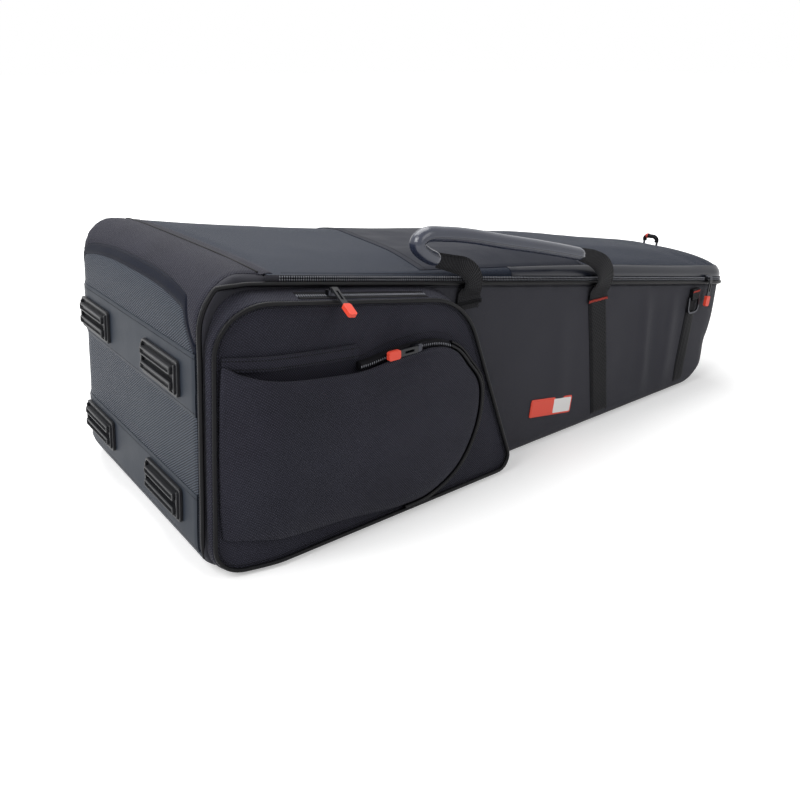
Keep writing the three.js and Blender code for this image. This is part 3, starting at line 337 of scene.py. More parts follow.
def woven(name, colour, pitch, depth, contrast, roughness, sheen,
          first=(1, 0.9, 1), second=(1, -0.7, -0.8), crossing=1.0, gloss=0.06):
    """Cloth whose threads cross on two slants, with uneven dye and a little fluff; its colour is darker in
    the hollows between threads and paler on their crests, as painted shade and painted highlight.
    """
    material, tree, shader, place = start_material(
        name, roughness, Sheen_Weight=sheen, Sheen_Roughness=0.4, Specular_IOR_Level=gloss
    )
    across = ridges(tree, place, first, pitch)
    along = ridges(tree, place, second, pitch)
    broken = add_node(
        tree, "ShaderNodeMath", {0: along, 1: crossing, 2: 1 - crossing}, operation="MULTIPLY_ADD"
    ).outputs[0]
    cross = add_node(tree, "ShaderNodeMath", {0: across, 1: broken}, operation="MULTIPLY").outputs[0]
    dye = add_node(tree, "ShaderNodeTexNoise", {"Vector": place, "Scale": 14.0}).outputs[0]
    fluff = add_node(tree, "ShaderNodeTexNoise", {"Vector": place, "Scale": 900.0}).outputs[0]
    dyed = add_node(
        tree, "ShaderNodeMix", {"Factor": 0.3 * crossing, "A": cross, "B": dye}
    ).outputs["Result"]
    shade = add_node(tree, "ShaderNodeMix", {"Factor": 0.2, "A": dyed, "B": fluff}).outputs["Result"]
    # Painted shade and highlight: the tint follows the threads' bump, darker in its hollows and paler on
    # its crests; dye and fluff are the yarn's own uneven tone.
    tinted(tree, shader, colour, shade, 1 - contrast, 1 + contrast)
    height = add_node(tree, "ShaderNodeMix", {"Factor": 0.3, "A": cross, "B": fluff}).outputs["Result"]
    bump = add_node(tree, "ShaderNodeBump", {"Height": height, "Distance": depth})
    tree.links.new(bump.outputs[0], shader.inputs["Normal"])
    return material


def grained(name, colour, grain, depth, roughness, spread=0.12, **constants):
    """A skin with pebbled grain, its gloss broken by handling."""
    material, tree, shader, place = start_material(name, roughness, **constants)
    cells = add_node(
        tree, "ShaderNodeTexVoronoi", {"Vector": place, "Scale": 1 / grain}, feature="SMOOTH_F1"
    ).outputs["Distance"]
    handling = add_node(
        tree, "ShaderNodeTexNoise", {"Vector": place, "Scale": 24.0, "Detail": 4.0}
    ).outputs[0]
    tinted(tree, shader, colour, handling, 1 - spread, 1 + spread)
    rough = add_node(tree, "ShaderNodeMapRange", {
        "Value": handling, "To Min": roughness - 0.07, "To Max": roughness + 0.1,
    })
    tree.links.new(rough.outputs[0], shader.inputs["Roughness"])
    bump = add_node(tree, "ShaderNodeBump", {"Height": cells, "Distance": depth})
    tree.links.new(bump.outputs[0], shader.inputs["Normal"])
    return material


def ribbed(name, colour, rib, roughness):
    """Webbing: ribs run across it, crossed by a slanted chevron."""
    material, tree, shader, place = start_material(
        name, roughness, Sheen_Weight=0.02, Specular_IOR_Level=0.08
    )
    uv = add_node(tree, "ShaderNodeUVMap", uv_map="Run").outputs[0]
    ribs = ridges(tree, uv, (0, 1, 0), rib)
    chevron = ridges(tree, uv, (1, 0.5, 0), rib * 1.7)
    height = add_node(tree, "ShaderNodeMix", {"Factor": 0.35, "A": ribs, "B": chevron}).outputs["Result"]
    fluff = add_node(tree, "ShaderNodeTexNoise", {"Vector": place, "Scale": 700.0}).outputs[0]
    shade = add_node(tree, "ShaderNodeMix", {"Factor": 0.3, "A": height, "B": fluff}).outputs["Result"]
    # Painted shade and highlight: the tint follows the ribs' bump, darker in the hollows between ribs and
    # paler on their crests; the fluff is the yarn's own uneven tone.
    tinted(tree, shader, colour, shade, 0.62, 1.3)
    bump = add_node(tree, "ShaderNodeBump", {"Height": height, "Distance": rib * 0.28})
    tree.links.new(bump.outputs[0], shader.inputs["Normal"])
    return material


def make_materials():
    c, s = colours(), sizes()
    return {
        # Ballistic nylon twill: matt, with slanted ridges of thick yarn; drawn at twice its pitch
        "twill": woven("NylonTwill", c.twill, s.twill_thread, 0.0012, 0.85, 0.6, 0.04),
        # Smooth polyester of the sides: a fine weave that only breaks the light a little
        "side": woven("SidePolyester", c.side, s.twill_thread * 0.6, 0.0003, 0.25, 0.6, 0.05),
        # Brushed polyester of the lid: finer than the render shows, smooth and paler under the light
        "lid": woven("LidPolyester", c.lid, s.twill_thread * 0.6, 0.0003, 0.3, 0.6, 0.08),
        # Coarse bonded weave: pale slanted cords with dark gaps, partly painted shade, drawn at its own
        # pitch
        "weave": woven("BondedWeave", c.end_weave, s.weave_thread, 0.0012, 0.9, 0.5, 0.03,
                       (0.2, 0.62, 1.0), (0.1, -1.0, 0.7), crossing=0.3),
        # Polyurethane leatherette: embossed fine pebbles with a soft gloss
        "leather": grained("Leatherette", c.leatherette, 0.0013, 0.00012, 0.45, IOR=1.5,
                           Specular_IOR_Level=0.05),
        # The same skin pulled tight round the lid's edge: a soft streak of light
        "edge": grained("EdgeLeatherette", c.leatherette, 0.0013, 0.00008, 0.3, IOR=1.5,
                        Specular_IOR_Level=0.35),
        # The same skin on the grips, stretched and rubbed smooth by hands: a clear highlight; its colour
        # is paler than the other leatherette partly as a painted highlight
        "grip": grained("GripLeatherette", c.grip, 0.0013, 0.00008, 0.22, IOR=1.5,
                        Specular_IOR_Level=0.7),
        # Calendered vinyl: smoother and more even than leatherette
        "vinyl": grained("CalenderedVinyl", c.vinyl, 0.0009, 0.00006, 0.5, 0.08, IOR=1.5,
                         Specular_IOR_Level=0.15),
        # Bias-cut nylon over a cord: stretched tightly, so it shines along its crest
        "piping": woven("CordedPiping", c.piping, 0.0018, 0.0002, 0.3, 0.34, 0.01, gloss=0.14),
        # Woven tape of the zips: fine, dark and matt
        "coil": woven("ZipTape", c.coil, 0.0018, 0.0002, 0.3, 0.7, 0.02),
        # Nylon coil of the zips: grey monofilament that catches the light, coloured paler than it is as a
        # painted highlight for the glints along the coil
        "teeth": grained("NylonCoil", c.teeth, 0.0007, 0.00004, 0.3, IOR=1.53),
        # Polypropylene webbing: ribs across with a glossy yarn
        "webbing": ribbed("RibbedWebbing", c.webbing, s.webbing_rib, 0.5),
        # Bonded polyester thread of the bartacks: bright, round stitches
        "thread": grained("RedThread", c.thread, 0.0006, 0.00008, 0.5),
        # The same thread in black, sunk in the seams
        "seam": grained("SeamThread", c.seam, 0.0006, 0.00008, 0.55, Specular_IOR_Level=0.1),
        # Injection-moulded nylon: spark-eroded fine texture, satin
        "moulded": grained("MouldedNylon", c.moulded, 0.0006, 0.00005, 0.4, 0.06, IOR=1.53,
                           Specular_IOR_Level=0.3),
        # Zinc casting with a black nickel finish: dark metal, small tumbling marks
        "gunmetal": grained("BlackNickel", c.gunmetal, 0.0014, 0.00002, 0.3, 0.1, Metallic=1.0),
        # Soft moulded rubber: matt, saturated
        "tip": grained("SoftRubber", c.tip, 0.0008, 0.00004, 0.5, 0.05, IOR=1.5),
        # Knitted plush over foam: very matt with a halo at grazing angles
        "lining": woven("PlushLining", c.lining, 0.0021, 0.0004, 0.3, 0.9, 0.3),
        # The tag's pale rubber: smooth and even
        "tag_light": grained("TagWhite", c.tag_light, 0.0008, 0.00004, 0.5, 0.03, IOR=1.5),
    }


MATERIALS = {}


def material(name):
    if not MATERIALS:
        MATERIALS.update(make_materials())
    return MATERIALS[name]


# Places on the case


def zip_height(x):
    return BELL_HEIGHT - x * ZIP_SLOPE


def zip_height_along(along):
    return zip_height(along * math.cos(TAPER))


def half_width(x):
    return BELL_WIDTH / 2 - x * TAPER_RATE


def smooth(share):
    share = min(max(share, 0), 1)
    return share * share * (3 - 2 * share)


def crown_rise(x):
    """The height of the lid's spine above the zip."""
    return LID_EDGE + CROWN_RISE * smooth((x - HINGE_SEAM) / (CROWN_REACH * CASE_LENGTH))


def from_bell(x):
    """Metres along the row frame as millimetres from the bell end."""
    return x / MM + MIDDLE


def mixed(first, last, share):
    return first + (last - first) * share


def crowned(share):
    """The rise of a padded crown, from 0 at its edge to 1 in the middle."""
    return (1 - (1 - share) ** CROWN_POWER) ** (1 / CROWN_POWER)


def row(x, y, height):
    """A place in the row frame from millimetres measured from the bell end."""
    return Vector(((x - MIDDLE) * MM, y * MM, height * MM))


def on_side(along, height, off, side=-1):
    """A place given along a side face, by its height and how far it stands off."""
    x = along * math.cos(TAPER) + off * math.sin(TAPER)
    y = BELL_WIDTH / 2 - along * math.sin(TAPER) + off * math.cos(TAPER)
    return row(x, side * y, height)


def pocket_place(along, height, off):
    """A place on the pockets, whose walls sink toward the body at the bell corner."""
    return on_side(along, height, off * (1 - POCKET_SINK * (1 - smooth((along - 8) / 75))))


def side_normal(side):
    return Vector((math.sin(TAPER), side * math.cos(TAPER), 0))


FRONT = side_normal(-1)


def at_rim(distance, inside, side, lift):
    """A place on the zip's sloping plane, lifted, from its plan distance and distance inside."""
    x = (distance + (BELL_HEIGHT + lift) * LEAN_RATE) / (1 + ZIP_SLOPE * LEAN_RATE)
    return row(x, side * (half_width(x) - inside), zip_height(x) + lift)


def plan_distance(x):
    """The plan distance of the rim's place at x."""
    return x * (1 + ZIP_SLOPE * LEAN_RATE) - BELL_HEIGHT * LEAN_RATE


def rim_path(outward, lift, start, spacing=9.0):
    """The rim from beside the hinge, round the narrow end and back to it on the other side."""
    sides = []
    for side in (-1, 1):
        points = []
        straight_end = CASE_LENGTH - NARROW_RADIUS
        count = int((straight_end - start) / spacing)
        for i in range(count + 1):
            points.append((start + (straight_end - start) * i / count, -outward))
        for i in range(1, 13):
            turn = (1 - i / 12) * math.pi / 2
            round_ = NARROW_RADIUS + outward
            points.append((
                CASE_LENGTH - NARROW_RADIUS + round_ * math.cos(turn),
                NARROW_RADIUS - round_ * math.sin(turn),
            ))
        sides.append([at_rim(x, inside, side, lift) for x, inside in points])
    front, rear = sides
    gap = (rear[-1] - front[-1]).length
    steps = max(2, int(gap / (spacing * MM)))
    between = [front[-1].lerp(rear[-1], i / steps) for i in range(1, steps)]
    return front + between + rear[::-1]


def spline(points, per_span):
    """A centripetal Catmull-Rom curve through points."""
    line = [points[0] * 2 - points[1], *points, points[-1] * 2 - points[-2]]
    found = []
    for a, b, c, d in zip(line, line[1:], line[2:], line[3:]):
        t0, t1, t2 = [max((q - p).length, 1e-7) ** 0.5 for p, q in ((a, b), (b, c), (c, d))]
        start = ((b - a) / t0 - (c - a) / (t0 + t1) + (c - b) / t1) * t1
        end = ((c - b) / t1 - (d - b) / (t1 + t2) + (d - c) / t2) * t1
        for k in range(per_span):
            t = k / per_span
            h1, h2 = 2 * t ** 3 - 3 * t * t + 1, t ** 3 - 2 * t * t + t
            h3, h4 = -2 * t ** 3 + 3 * t * t, t ** 3 - t * t
            found.append(b * h1 + start * h2 + c * h3 + end * h4)
    found.append(points[-1].copy())
    return found


def rounded_outline(corners, radii, steps):
    """A polygon with rounded corners, in two dimensions."""
    points = []
    count = len(corners)
    for i, (corner, radius) in enumerate(zip(corners, radii)):
        back = (corners[i - 1] - corner).normalized()
        on = (corners[(i + 1) % count] - corner).normalized()
        half = math.acos(max(-1, min(1, back.dot(on)))) / 2
        reach = radius / math.tan(half)
        first, last = corner + back * reach, corner + on * reach
        centre = corner + (back + on).normalized() * (radius / math.sin(half))
        from_angle = math.atan2(*(first - centre).yx)
        turn = math.atan2(*(last - centre).yx) - from_angle
        turn = (turn + math.pi) % (2 * math.pi) - math.pi
        for k in range(steps + 1):
            angle = from_angle + turn * k / steps
            points.append(centre + Vector((math.cos(angle), math.sin(angle))) * radius)
    return points


def run_lengths(line):
    """The distance along a line at each of its points."""
    lengths = [0.0]
    for first, second in zip(line, line[1:]):
        lengths.append(lengths[-1] + (second - first).length)
    return lengths


def evened(points, spacing, closed=False):
    """The same line with its points at even distances."""
    line = points + [points[0]] if closed else points
    lengths = run_lengths(line)
    count = max(2, round(lengths[-1] / spacing))
    found, k = [], 0
    for i in range(count + (0 if closed else 1)):
        target = lengths[-1] * i / count
        while k < len(line) - 2 and lengths[k + 1] < target:
            k += 1
        span = max(lengths[k + 1] - lengths[k], 1e-9)
        found.append(line[k].lerp(line[k + 1], min(1, (target - lengths[k]) / span)))
    return found


# Mesh making


def new_mesh(name, vertices, faces, edges=()):
    mesh = bpy.data.meshes.new(name)
    mesh.from_pydata(vertices, edges, faces)
    return mesh


def new_object(name, mesh):
    made = bpy.data.objects.new(name, mesh)
    bpy.context.scene.collection.objects.link(made)
    return made


def applied(made):
    """Applies an object's modifiers and drops them."""
    graph = bpy.context.evaluated_depsgraph_get()
    mesh = bpy.data.meshes.new_from_object(made.evaluated_get(graph), depsgraph=graph)
    made.modifiers.clear()
    made.data = mesh
    return made


@contextmanager
def edited(mesh):
    """The mesh as an editable one, written back at the end."""
    work = bmesh.new()
    work.from_mesh(mesh)
    yield work
    work.to_mesh(mesh)
    work.free()


def bevelled(made, width, segments, angle=30):
    """Eases the edges that are sharper than an angle in degrees."""
    bevel = made.modifiers.new("Edges", "BEVEL")
    bevel.width = width
    bevel.segments = segments
    bevel.limit_method = "ANGLE"
    bevel.angle_limit = math.radians(angle)


def smoothed(made):
    """Applies one level of subdivision."""
    smoother = made.modifiers.new("Soft", "SUBSURF")
    smoother.levels = smoother.render_levels = 1
    return applied(made)


def finish(made, finishes, body, replaced=(), sharp=40, outward=True):
    """Gives a piece its normals, shading, materials and body, and hides the nodes that it stands for."""
    mesh = made.data
    if outward:
        with edited(mesh) as work:
            bmesh.ops.recalc_face_normals(work, faces=work.faces)
    mesh.shade_smooth()
    mesh.set_sharp_from_angle(angle=math.radians(sharp))
    mesh.materials.clear()
    for name in finishes:
        mesh.materials.append(material(name))
    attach(made, body)
    if replaced:
        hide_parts(*replaced)
    return made


def map_run(mesh, place):
    """Maps the run of cloth by a function of the vertex number."""
    layer = mesh.uv_layers.new(name="Run")
    for loop in mesh.loops:
        layer.data[loop.index].uv = place(loop.vertex_index)


def lofted(name, rings, closed_run=False, caps=True, across=None):
    """A surface through closed rings of equally many points, with a map of its run in metres."""
    count, rows = len(rings[0]), len(rings)
    vertices = [point for ring in rings for point in ring]
    faces, places = [], []
    for r in range(rows if closed_run else rows - 1):
        for c in range(count):
            nr, nc = (r + 1) % rows, (c + 1) % count
            faces.append((r * count + c, r * count + nc, nr * count + nc, nr * count + c))
            places.append(((r, c), (r, c + 1), (r + 1, c + 1), (r + 1, c)))
    run = run_lengths([ring[0] for ring in (*rings, rings[0])])
    across = across or run_lengths([*rings[0], rings[0][0]])
    if caps and not closed_run:
        for r in (0, rows - 1):
            faces.append(tuple(range(r * count, (r + 1) * count)))
            places.append(tuple((r, c) for c in range(count)))
    mesh = new_mesh(name, vertices, faces)
    layer = mesh.uv_layers.new(name="Run")
    loop = 0
    for corners in places:
        for r, c in corners:
            layer.data[loop].uv = (across[c], run[r])
            loop += 1
    return new_object(name, mesh)


def carried_frames(path, closed=False):
    """A tangent and a side vector at each point, carried along without twist."""
    count = len(path)
    tangents = []
    for i in range(count):
        before = path[(i - 1) % count] if closed or i else path[0]
        after = path[(i + 1) % count] if closed or i < count - 1 else path[-1]
        tangents.append((after - before).normalized())
    first = tangents[0].orthogonal().normalized()
    sides = [first]
    for before, after in zip(tangents, tangents[1:]):
        sides.append((before.rotation_difference(after) @ sides[-1]).normalized())
    if closed:
        turned = tangents[-1].rotation_difference(tangents[0]) @ sides[-1]
        angle = turned.angle(first)
        if turned.cross(first).dot(tangents[0]) < 0:
            angle = -angle
        sides = [Matrix.Rotation(angle * i / count, 3, tangents[i]) @ side for i, side in enumerate(sides)]
    return tangents, sides


def tube(name, path, radii, sides=14, closed=False):
    """A round cord along a path, of one radius or of one for each of its points."""
    tangents, carried = carried_frames(path, closed)
    rings = []
    for i, (point, tangent, side) in enumerate(zip(path, tangents, carried)):
        other = tangent.cross(side)
        radius = radii[i] if isinstance(radii, list) else radii
        ring = []
        for k in range(sides):
            angle = 2 * math.pi * k / sides
            ring.append(point + (side * math.cos(angle) + other * math.sin(angle)) * radius)
        rings.append(ring)
    return lofted(name, rings, closed_run=closed)


def merged_node(node):
    """A copy of a CAD node's mesh with its loose triangles joined."""
    mesh = frame["nodes"][node].data.copy()
    with edited(mesh) as work:
        bmesh.ops.remove_doubles(work, verts=work.verts, dist=WELD)
    return mesh


def remeshed_node(name, node, voxel, smoothing):
    """A solid's shape with one even mesh, its edges softened."""
    made = new_object(name, merged_node(node))
    remesh = made.modifiers.new("Cloth skin", "REMESH")
    remesh.mode = "VOXEL"
    remesh.voxel_size = voxel
    soften = made.modifiers.new("Soft edges", "SMOOTH")
    soften.factor = 0.5
    soften.iterations = smoothing
    return applied(made)


def surface_tree(made):
    """A tree that finds where rays meet a piece."""
    return BVHTree.FromPolygons(
        [v.co.copy() for v in made.data.vertices], [tuple(p.vertices) for p in made.data.polygons]
    )


def draped(tree, rays):
    """Where rays (start, direction) meet a surface, with its normals."""
    found = []
    for ring in rays:
        line = []
        for start, direction in ring:
            place, normal, _, _ = tree.ray_cast(start, direction)
            if place is None:
                raise RuntimeError("a sewn panel misses the body beneath it")
            line.append((place, normal if normal.dot(direction) < 0 else -normal))
        found.append(line)
    return found


def row_faces(r, count, total):
    """The upper and lower faces of one row of a grid with two sides."""
    faces = []
    for a in range(r * count, (r + 1) * count - 1):
        quad = (a, a + 1, a + count + 1, a + count)
        faces += [quad, tuple(i + total for i in reversed(quad))]
    return faces


def sewn_panel(name, hits, lift=PANEL_LIFT, thickness=PANEL_THICKNESS):
    """A closed thin panel over a surface; its border rolls down to the seam."""
    lift, thickness = lift * MM, thickness * MM
    rows, count = len(hits), len(hits[0])
    top, low = [], []
    for r in range(rows):
        for c in range(count):
            place, normal = hits[r][c]
            edge = min(r, c, rows - 1 - r, count - 1 - c)
            share = 0.25 if edge == 0 else 1.0
            top.append(place + normal * (lift + thickness * share))
            low.append(place + normal * (lift * 0.2))
    total = rows * count
    faces = []
    for r in range(rows - 1):
        faces += row_faces(r, count, total)
    border = [(c, c + 1) for c in range(count - 1)]
    border += [(r * count + count - 1, (r + 1) * count + count - 1) for r in range(rows - 1)]
    border += [((rows - 1) * count + c + 1, (rows - 1) * count + c) for c in reversed(range(count - 1))]
    border += [((r + 1) * count, r * count) for r in reversed(range(rows - 1))]
    for a, b in border:
        faces.append((a, a + total, b + total, b))
    mesh = new_mesh(name, top + low, faces)
    up = [(line[0][0] - hits[0][0][0]).length for line in hits]
    across = [(place - hits[0][0][0]).length for place, _ in hits[0]]
    map_run(mesh, lambda i: (across[i % total % count], up[i % total // count]))
    return new_object(name, mesh)


# Stitches and teeth: one shape repeated along lines


def repeat_tree():
    """A node tree that repeats a rounded shape along lines, turned to their stored aim."""
    found = bpy.data.node_groups.get("RepeatedShape")
    if found:
        return found
    tree = bpy.data.node_groups.new("RepeatedShape", "GeometryNodeTree")
    tree.is_modifier = True
    tree.interface.new_socket("Geometry", in_out="INPUT", socket_type="NodeSocketGeometry")
    for name in ("Pitch", "Length", "Width", "Height"):
        tree.interface.new_socket(name, in_out="INPUT", socket_type="NodeSocketFloat")
    tree.interface.new_socket("Material", in_out="INPUT", socket_type="NodeSocketMaterial")
    tree.interface.new_socket("Geometry", in_out="OUTPUT", socket_type="NodeSocketGeometry")
    given = add_node(tree, "NodeGroupInput").outputs
    line = add_node(tree, "GeometryNodeMeshToCurve", {"Mesh": given["Geometry"]})
    even = add_node(
        tree,
        "GeometryNodeResampleCurve",
        {"Curve": line.outputs[0], "Length": given["Pitch"]},
        mode="LENGTH",
    )
    aim, facing = [
        add_node(tree, "GeometryNodeInputNamedAttribute", {"Name": name}, data_type="FLOAT_VECTOR")
        for name in ("aim", "facing")
    ]
    turn = add_node(
        tree, "FunctionNodeAlignRotationToVector", {"Vector": aim.outputs["Attribute"]}, axis="X"
    )
    upright = add_node(
        tree,
        "FunctionNodeAlignRotationToVector",
        {"Rotation": turn.outputs[0], "Vector": facing.outputs["Attribute"]},
        axis="Z",
        pivot_axis="X",
    )
    ball = add_node(tree, "GeometryNodeMeshIcoSphere", {"Radius": 0.5, "Subdivisions": 1})
    scale = add_node(
        tree, "ShaderNodeCombineXYZ", {"X": given["Length"], "Y": given["Width"], "Z": given["Height"]}
    )
    spread = add_node(
        tree,
        "GeometryNodeInstanceOnPoints",
        {
            "Points": even.outputs[0],
            "Instance": ball.outputs[0],
            "Rotation": upright.outputs[0],
            "Scale": scale.outputs[0],
        },
    )
    real = add_node(tree, "GeometryNodeRealizeInstances", {"Geometry": spread.outputs[0]})
    soft = add_node(tree, "GeometryNodeSetShadeSmooth", {"Geometry": real.outputs[0]})
    dressed = add_node(
        tree, "GeometryNodeSetMaterial", {"Geometry": soft.outputs[0], "Material": given["Material"]}
    )
    add_node(tree, "NodeGroupOutput", {"Geometry": dressed.outputs[0]})
    return tree


def repeated(name, lines, pitch, length, width, height, finish_name, body):
    """Shapes along lines; each line is a list of (place, aim, facing)."""
    vertices, edges, aims, facings = [], [], [], []
    for line in lines:
        first = len(vertices)
        for place, aim, facing in line:
            vertices.append(place)
            aims.extend(aim)
            facings.extend(facing)
        edges += [(first + i, first + i + 1) for i in range(len(line) - 1)]
    mesh = new_mesh(name, vertices, [], edges)
    mesh.attributes.new("aim", "FLOAT_VECTOR", "POINT").data.foreach_set("vector", aims)
    mesh.attributes.new("facing", "FLOAT_VECTOR", "POINT").data.foreach_set("vector", facings)
    made = new_object(name, mesh)
    shape = made.modifiers.new("Repeat", "NODES")
    shape.node_group = repeat_tree()
    values = {
        "Pitch": pitch, "Length": length, "Width": width, "Height": height,
        "Material": material(finish_name),
    }
    for item in shape.node_group.interface.items_tree:
        if item.in_out == "INPUT" and item.name in values:
            shape[item.identifier] = values[item.name]
    applied(made)
    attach(made, body)
    return made


def stitch_line(places, normals=None, normal=None):
    """Stitches that lie along a line of places."""
    line = []
    for i, place in enumerate(places):
        before, after = places[max(i - 1, 0)], places[min(i + 1, len(places) - 1)]
        facing = normals[i] if normals else normal
        line.append((place, (after - before).normalized(), facing))
    return line


def seam_over(hits, off):
    """A line of stitches over sewn cloth, so many millimetres off what it lies on."""
    places = [place + normal * off * MM for place, normal in hits]
    return stitch_line(places, [normal for _, normal in hits])


def stitches(name, lines, body="case", thickness=0.0008):
    pitch = sizes().stitch_pitch
    return repeated(name, lines, pitch, pitch * 0.78, thickness, thickness * 0.8, "seam", body)


# The padded body


def outward_of_core(place, normal):
    """Whether a skin looks away from the middle of the case, not into it."""
    x = min(max(place.x, -0.25), 0.36)
    core = Vector((x, 0, zip_height(from_bell(x)) * MM * 0.45))
    return (place - core).dot(normal) > 0


def bell_shaped(value, middle, width):
    return math.exp(-(((value - middle) / width) ** 2))


def side_folds(along, height, front):
    """Soft standing folds in the side fabric, in millimetres."""
    top = zip_height_along(along)
    share = smooth(height / top * 3) * smooth((1 - height / top) * 3)
    lean = (height - top / 2) * 0.05
    folds = sum(
        rise * bell_shaped(along + lean * way, middle, width) for rise, middle, width, way in SIDE_FOLDS
    )
    return folds * share * (1.7 if front else 1.1)


def shape_padding(made, lid):
    """Pushes the skin out and in by soft folds and slow unevenness."""
    mesh = made.data
    normals = [v.normal.copy() for v in mesh.vertices]
    for vertex, normal in zip(mesh.vertices, normals):
        place = vertex.co
        if not outward_of_core(place, normal):
            continue
        x, y, height = from_bell(place.x), place.y / MM, place.z / MM
        slow = noise.noise(place * 11) * 0.6 + noise.noise(place * 26) * 0.35
        if lid:
            inside = half_width(x) - abs(y)
            share = smooth(inside / 60) * smooth((x - HINGE_SEAM) / 60) * smooth((930 - x) / 60)
            move = slow * 1.5 * share
        else:
            standing = abs(normal.y)
            move = slow * (0.5 + 0.6 * standing) * smooth(height / 30)
            if standing > 0.8:
                along = x / math.cos(TAPER)
                move += side_folds(along, height, y < 0)
        place += normal * move * MM


def round_narrow_corner(made):
    """Draws the narrow end's lower corner in to the quarter ellipse that the filled case shows."""
    deep, tall = CORNER_DEEP, CORNER_TALL
    centre_x, centre_z = deep - CORNER_SOLID, tall - CORNER_SOLID
    for vertex in made.data.vertices:
        out = from_bell(vertex.co.x) - (CASE_LENGTH - deep)
        down = tall - vertex.co.z / MM
        if out <= 0 or down <= 0:
            continue
        length = math.hypot(out, down)
        x, z = out / length, down / length
        wall = min(deep / x, tall / z)
        across = centre_x * x + centre_z * z
        inside = across ** 2 - centre_x ** 2 - centre_z ** 2 + CORNER_SOLID ** 2
        if inside > 0:
            arc = across + math.sqrt(inside)
            if arc * x > centre_x and arc * z > centre_z:
                wall = arc
        ellipse = 1 / math.hypot(x / deep, z / tall)
        drawn = length * ellipse / wall
        vertex.co.x = (CASE_LENGTH - deep + x * drawn - MIDDLE) * MM
        vertex.co.z = (tall - z * drawn) * MM


def swollen(made, held, cap, pressure=4.0):
    """Swells a piece by a cloth simulation; no place moves further than the cap."""
    scene = bpy.context.scene
    mesh = made.data
    fixed = [v.index for v in mesh.vertices if held(v)]
    made.vertex_groups.new(name="Held").add(fixed, 1.0, "REPLACE")
    cloth = made.modifiers.new("Cloth", "CLOTH")
    settings = cloth.settings
    settings.quality = 5
    settings.mass = 0.3
    settings.tension_stiffness = 12
    settings.compression_stiffness = 8
    settings.bending_stiffness = 0.4
    settings.use_pressure = True
    settings.uniform_pressure_force = pressure
    settings.effector_weights.gravity = 0
    settings.vertex_group_mass = "Held"
    cloth.point_cache.frame_start = 1
    cloth.point_cache.frame_end = 20
    for frame_number in range(1, 21):
        scene.frame_set(frame_number)
    graph = bpy.context.evaluated_depsgraph_get()
    moved = [v.co.copy() for v in made.evaluated_get(graph).data.vertices]
    made.modifiers.clear()
    made.vertex_groups.clear()
    scene.frame_set(1)
    for vertex, place in zip(mesh.vertices, moved):
        step = place - vertex.co
        if step.length > cap:
            step *= cap / step.length
        vertex.co += step


def near_rim(place):
    """Whether a place of the lid is so near its edge that it stays where it is."""
    x = from_bell(place.x)
    inside = half_width(x) - abs(place.y) / MM
    return inside < 8 or x < HINGE_SEAM + 12 or x > CASE_LENGTH - 8


def crowned_lid():
    """The padded lid: a crown that rises from the zip to its spine, with a hollow underside."""
    rim = rim_path(0, 0, plan_distance(HINGE_SEAM + 0.3), 5)
    count = len(rim)
    spine = []
    for i, place in enumerate(rim):
        middle = (place + rim[count - 1 - i]) / 2
        middle.x = min(middle.x, (CASE_LENGTH - 60 - MIDDLE) * MM)
        spine.append(middle)
    layers = [[], []]
    for share in LID_SHARES:
        for i, place in enumerate(rim):
            raised = place.lerp(spine[i], share)
            x = from_bell(raised.x)
            top = crown_rise(x) * crowned(share)
            inside = (raised - place).length / MM
            low = max(top - LID_WALL, LID_SKIN) if inside > LID_WALL else LID_SKIN
            for layer, lift in zip(layers, (max(top, 3), low)):
                layer.append(Vector((raised.x, raised.y, (zip_height(x) + lift) * MM)))
    rows, total = len(LID_SHARES), len(LID_SHARES) * count
    faces = []
    for r in range(rows - 1):
        faces += row_faces(r, count, total)
        for c in (0, count - 1):
            a = r * count + c
            faces.append((a, a + count, a + count + total, a + total))
    faces += [(c, c + 1, c + 1 + total, c + total) for c in range(count - 1)]
    mesh = new_mesh("lid_padding", layers[0] + layers[1], faces)
    with edited(mesh) as work:
        bmesh.ops.remove_doubles(work, verts=work.verts, dist=WELD / 2)
        bmesh.ops.recalc_face_normals(work, faces=work.faces)
    return new_object("lid_padding", mesh)


SURFACES = {}


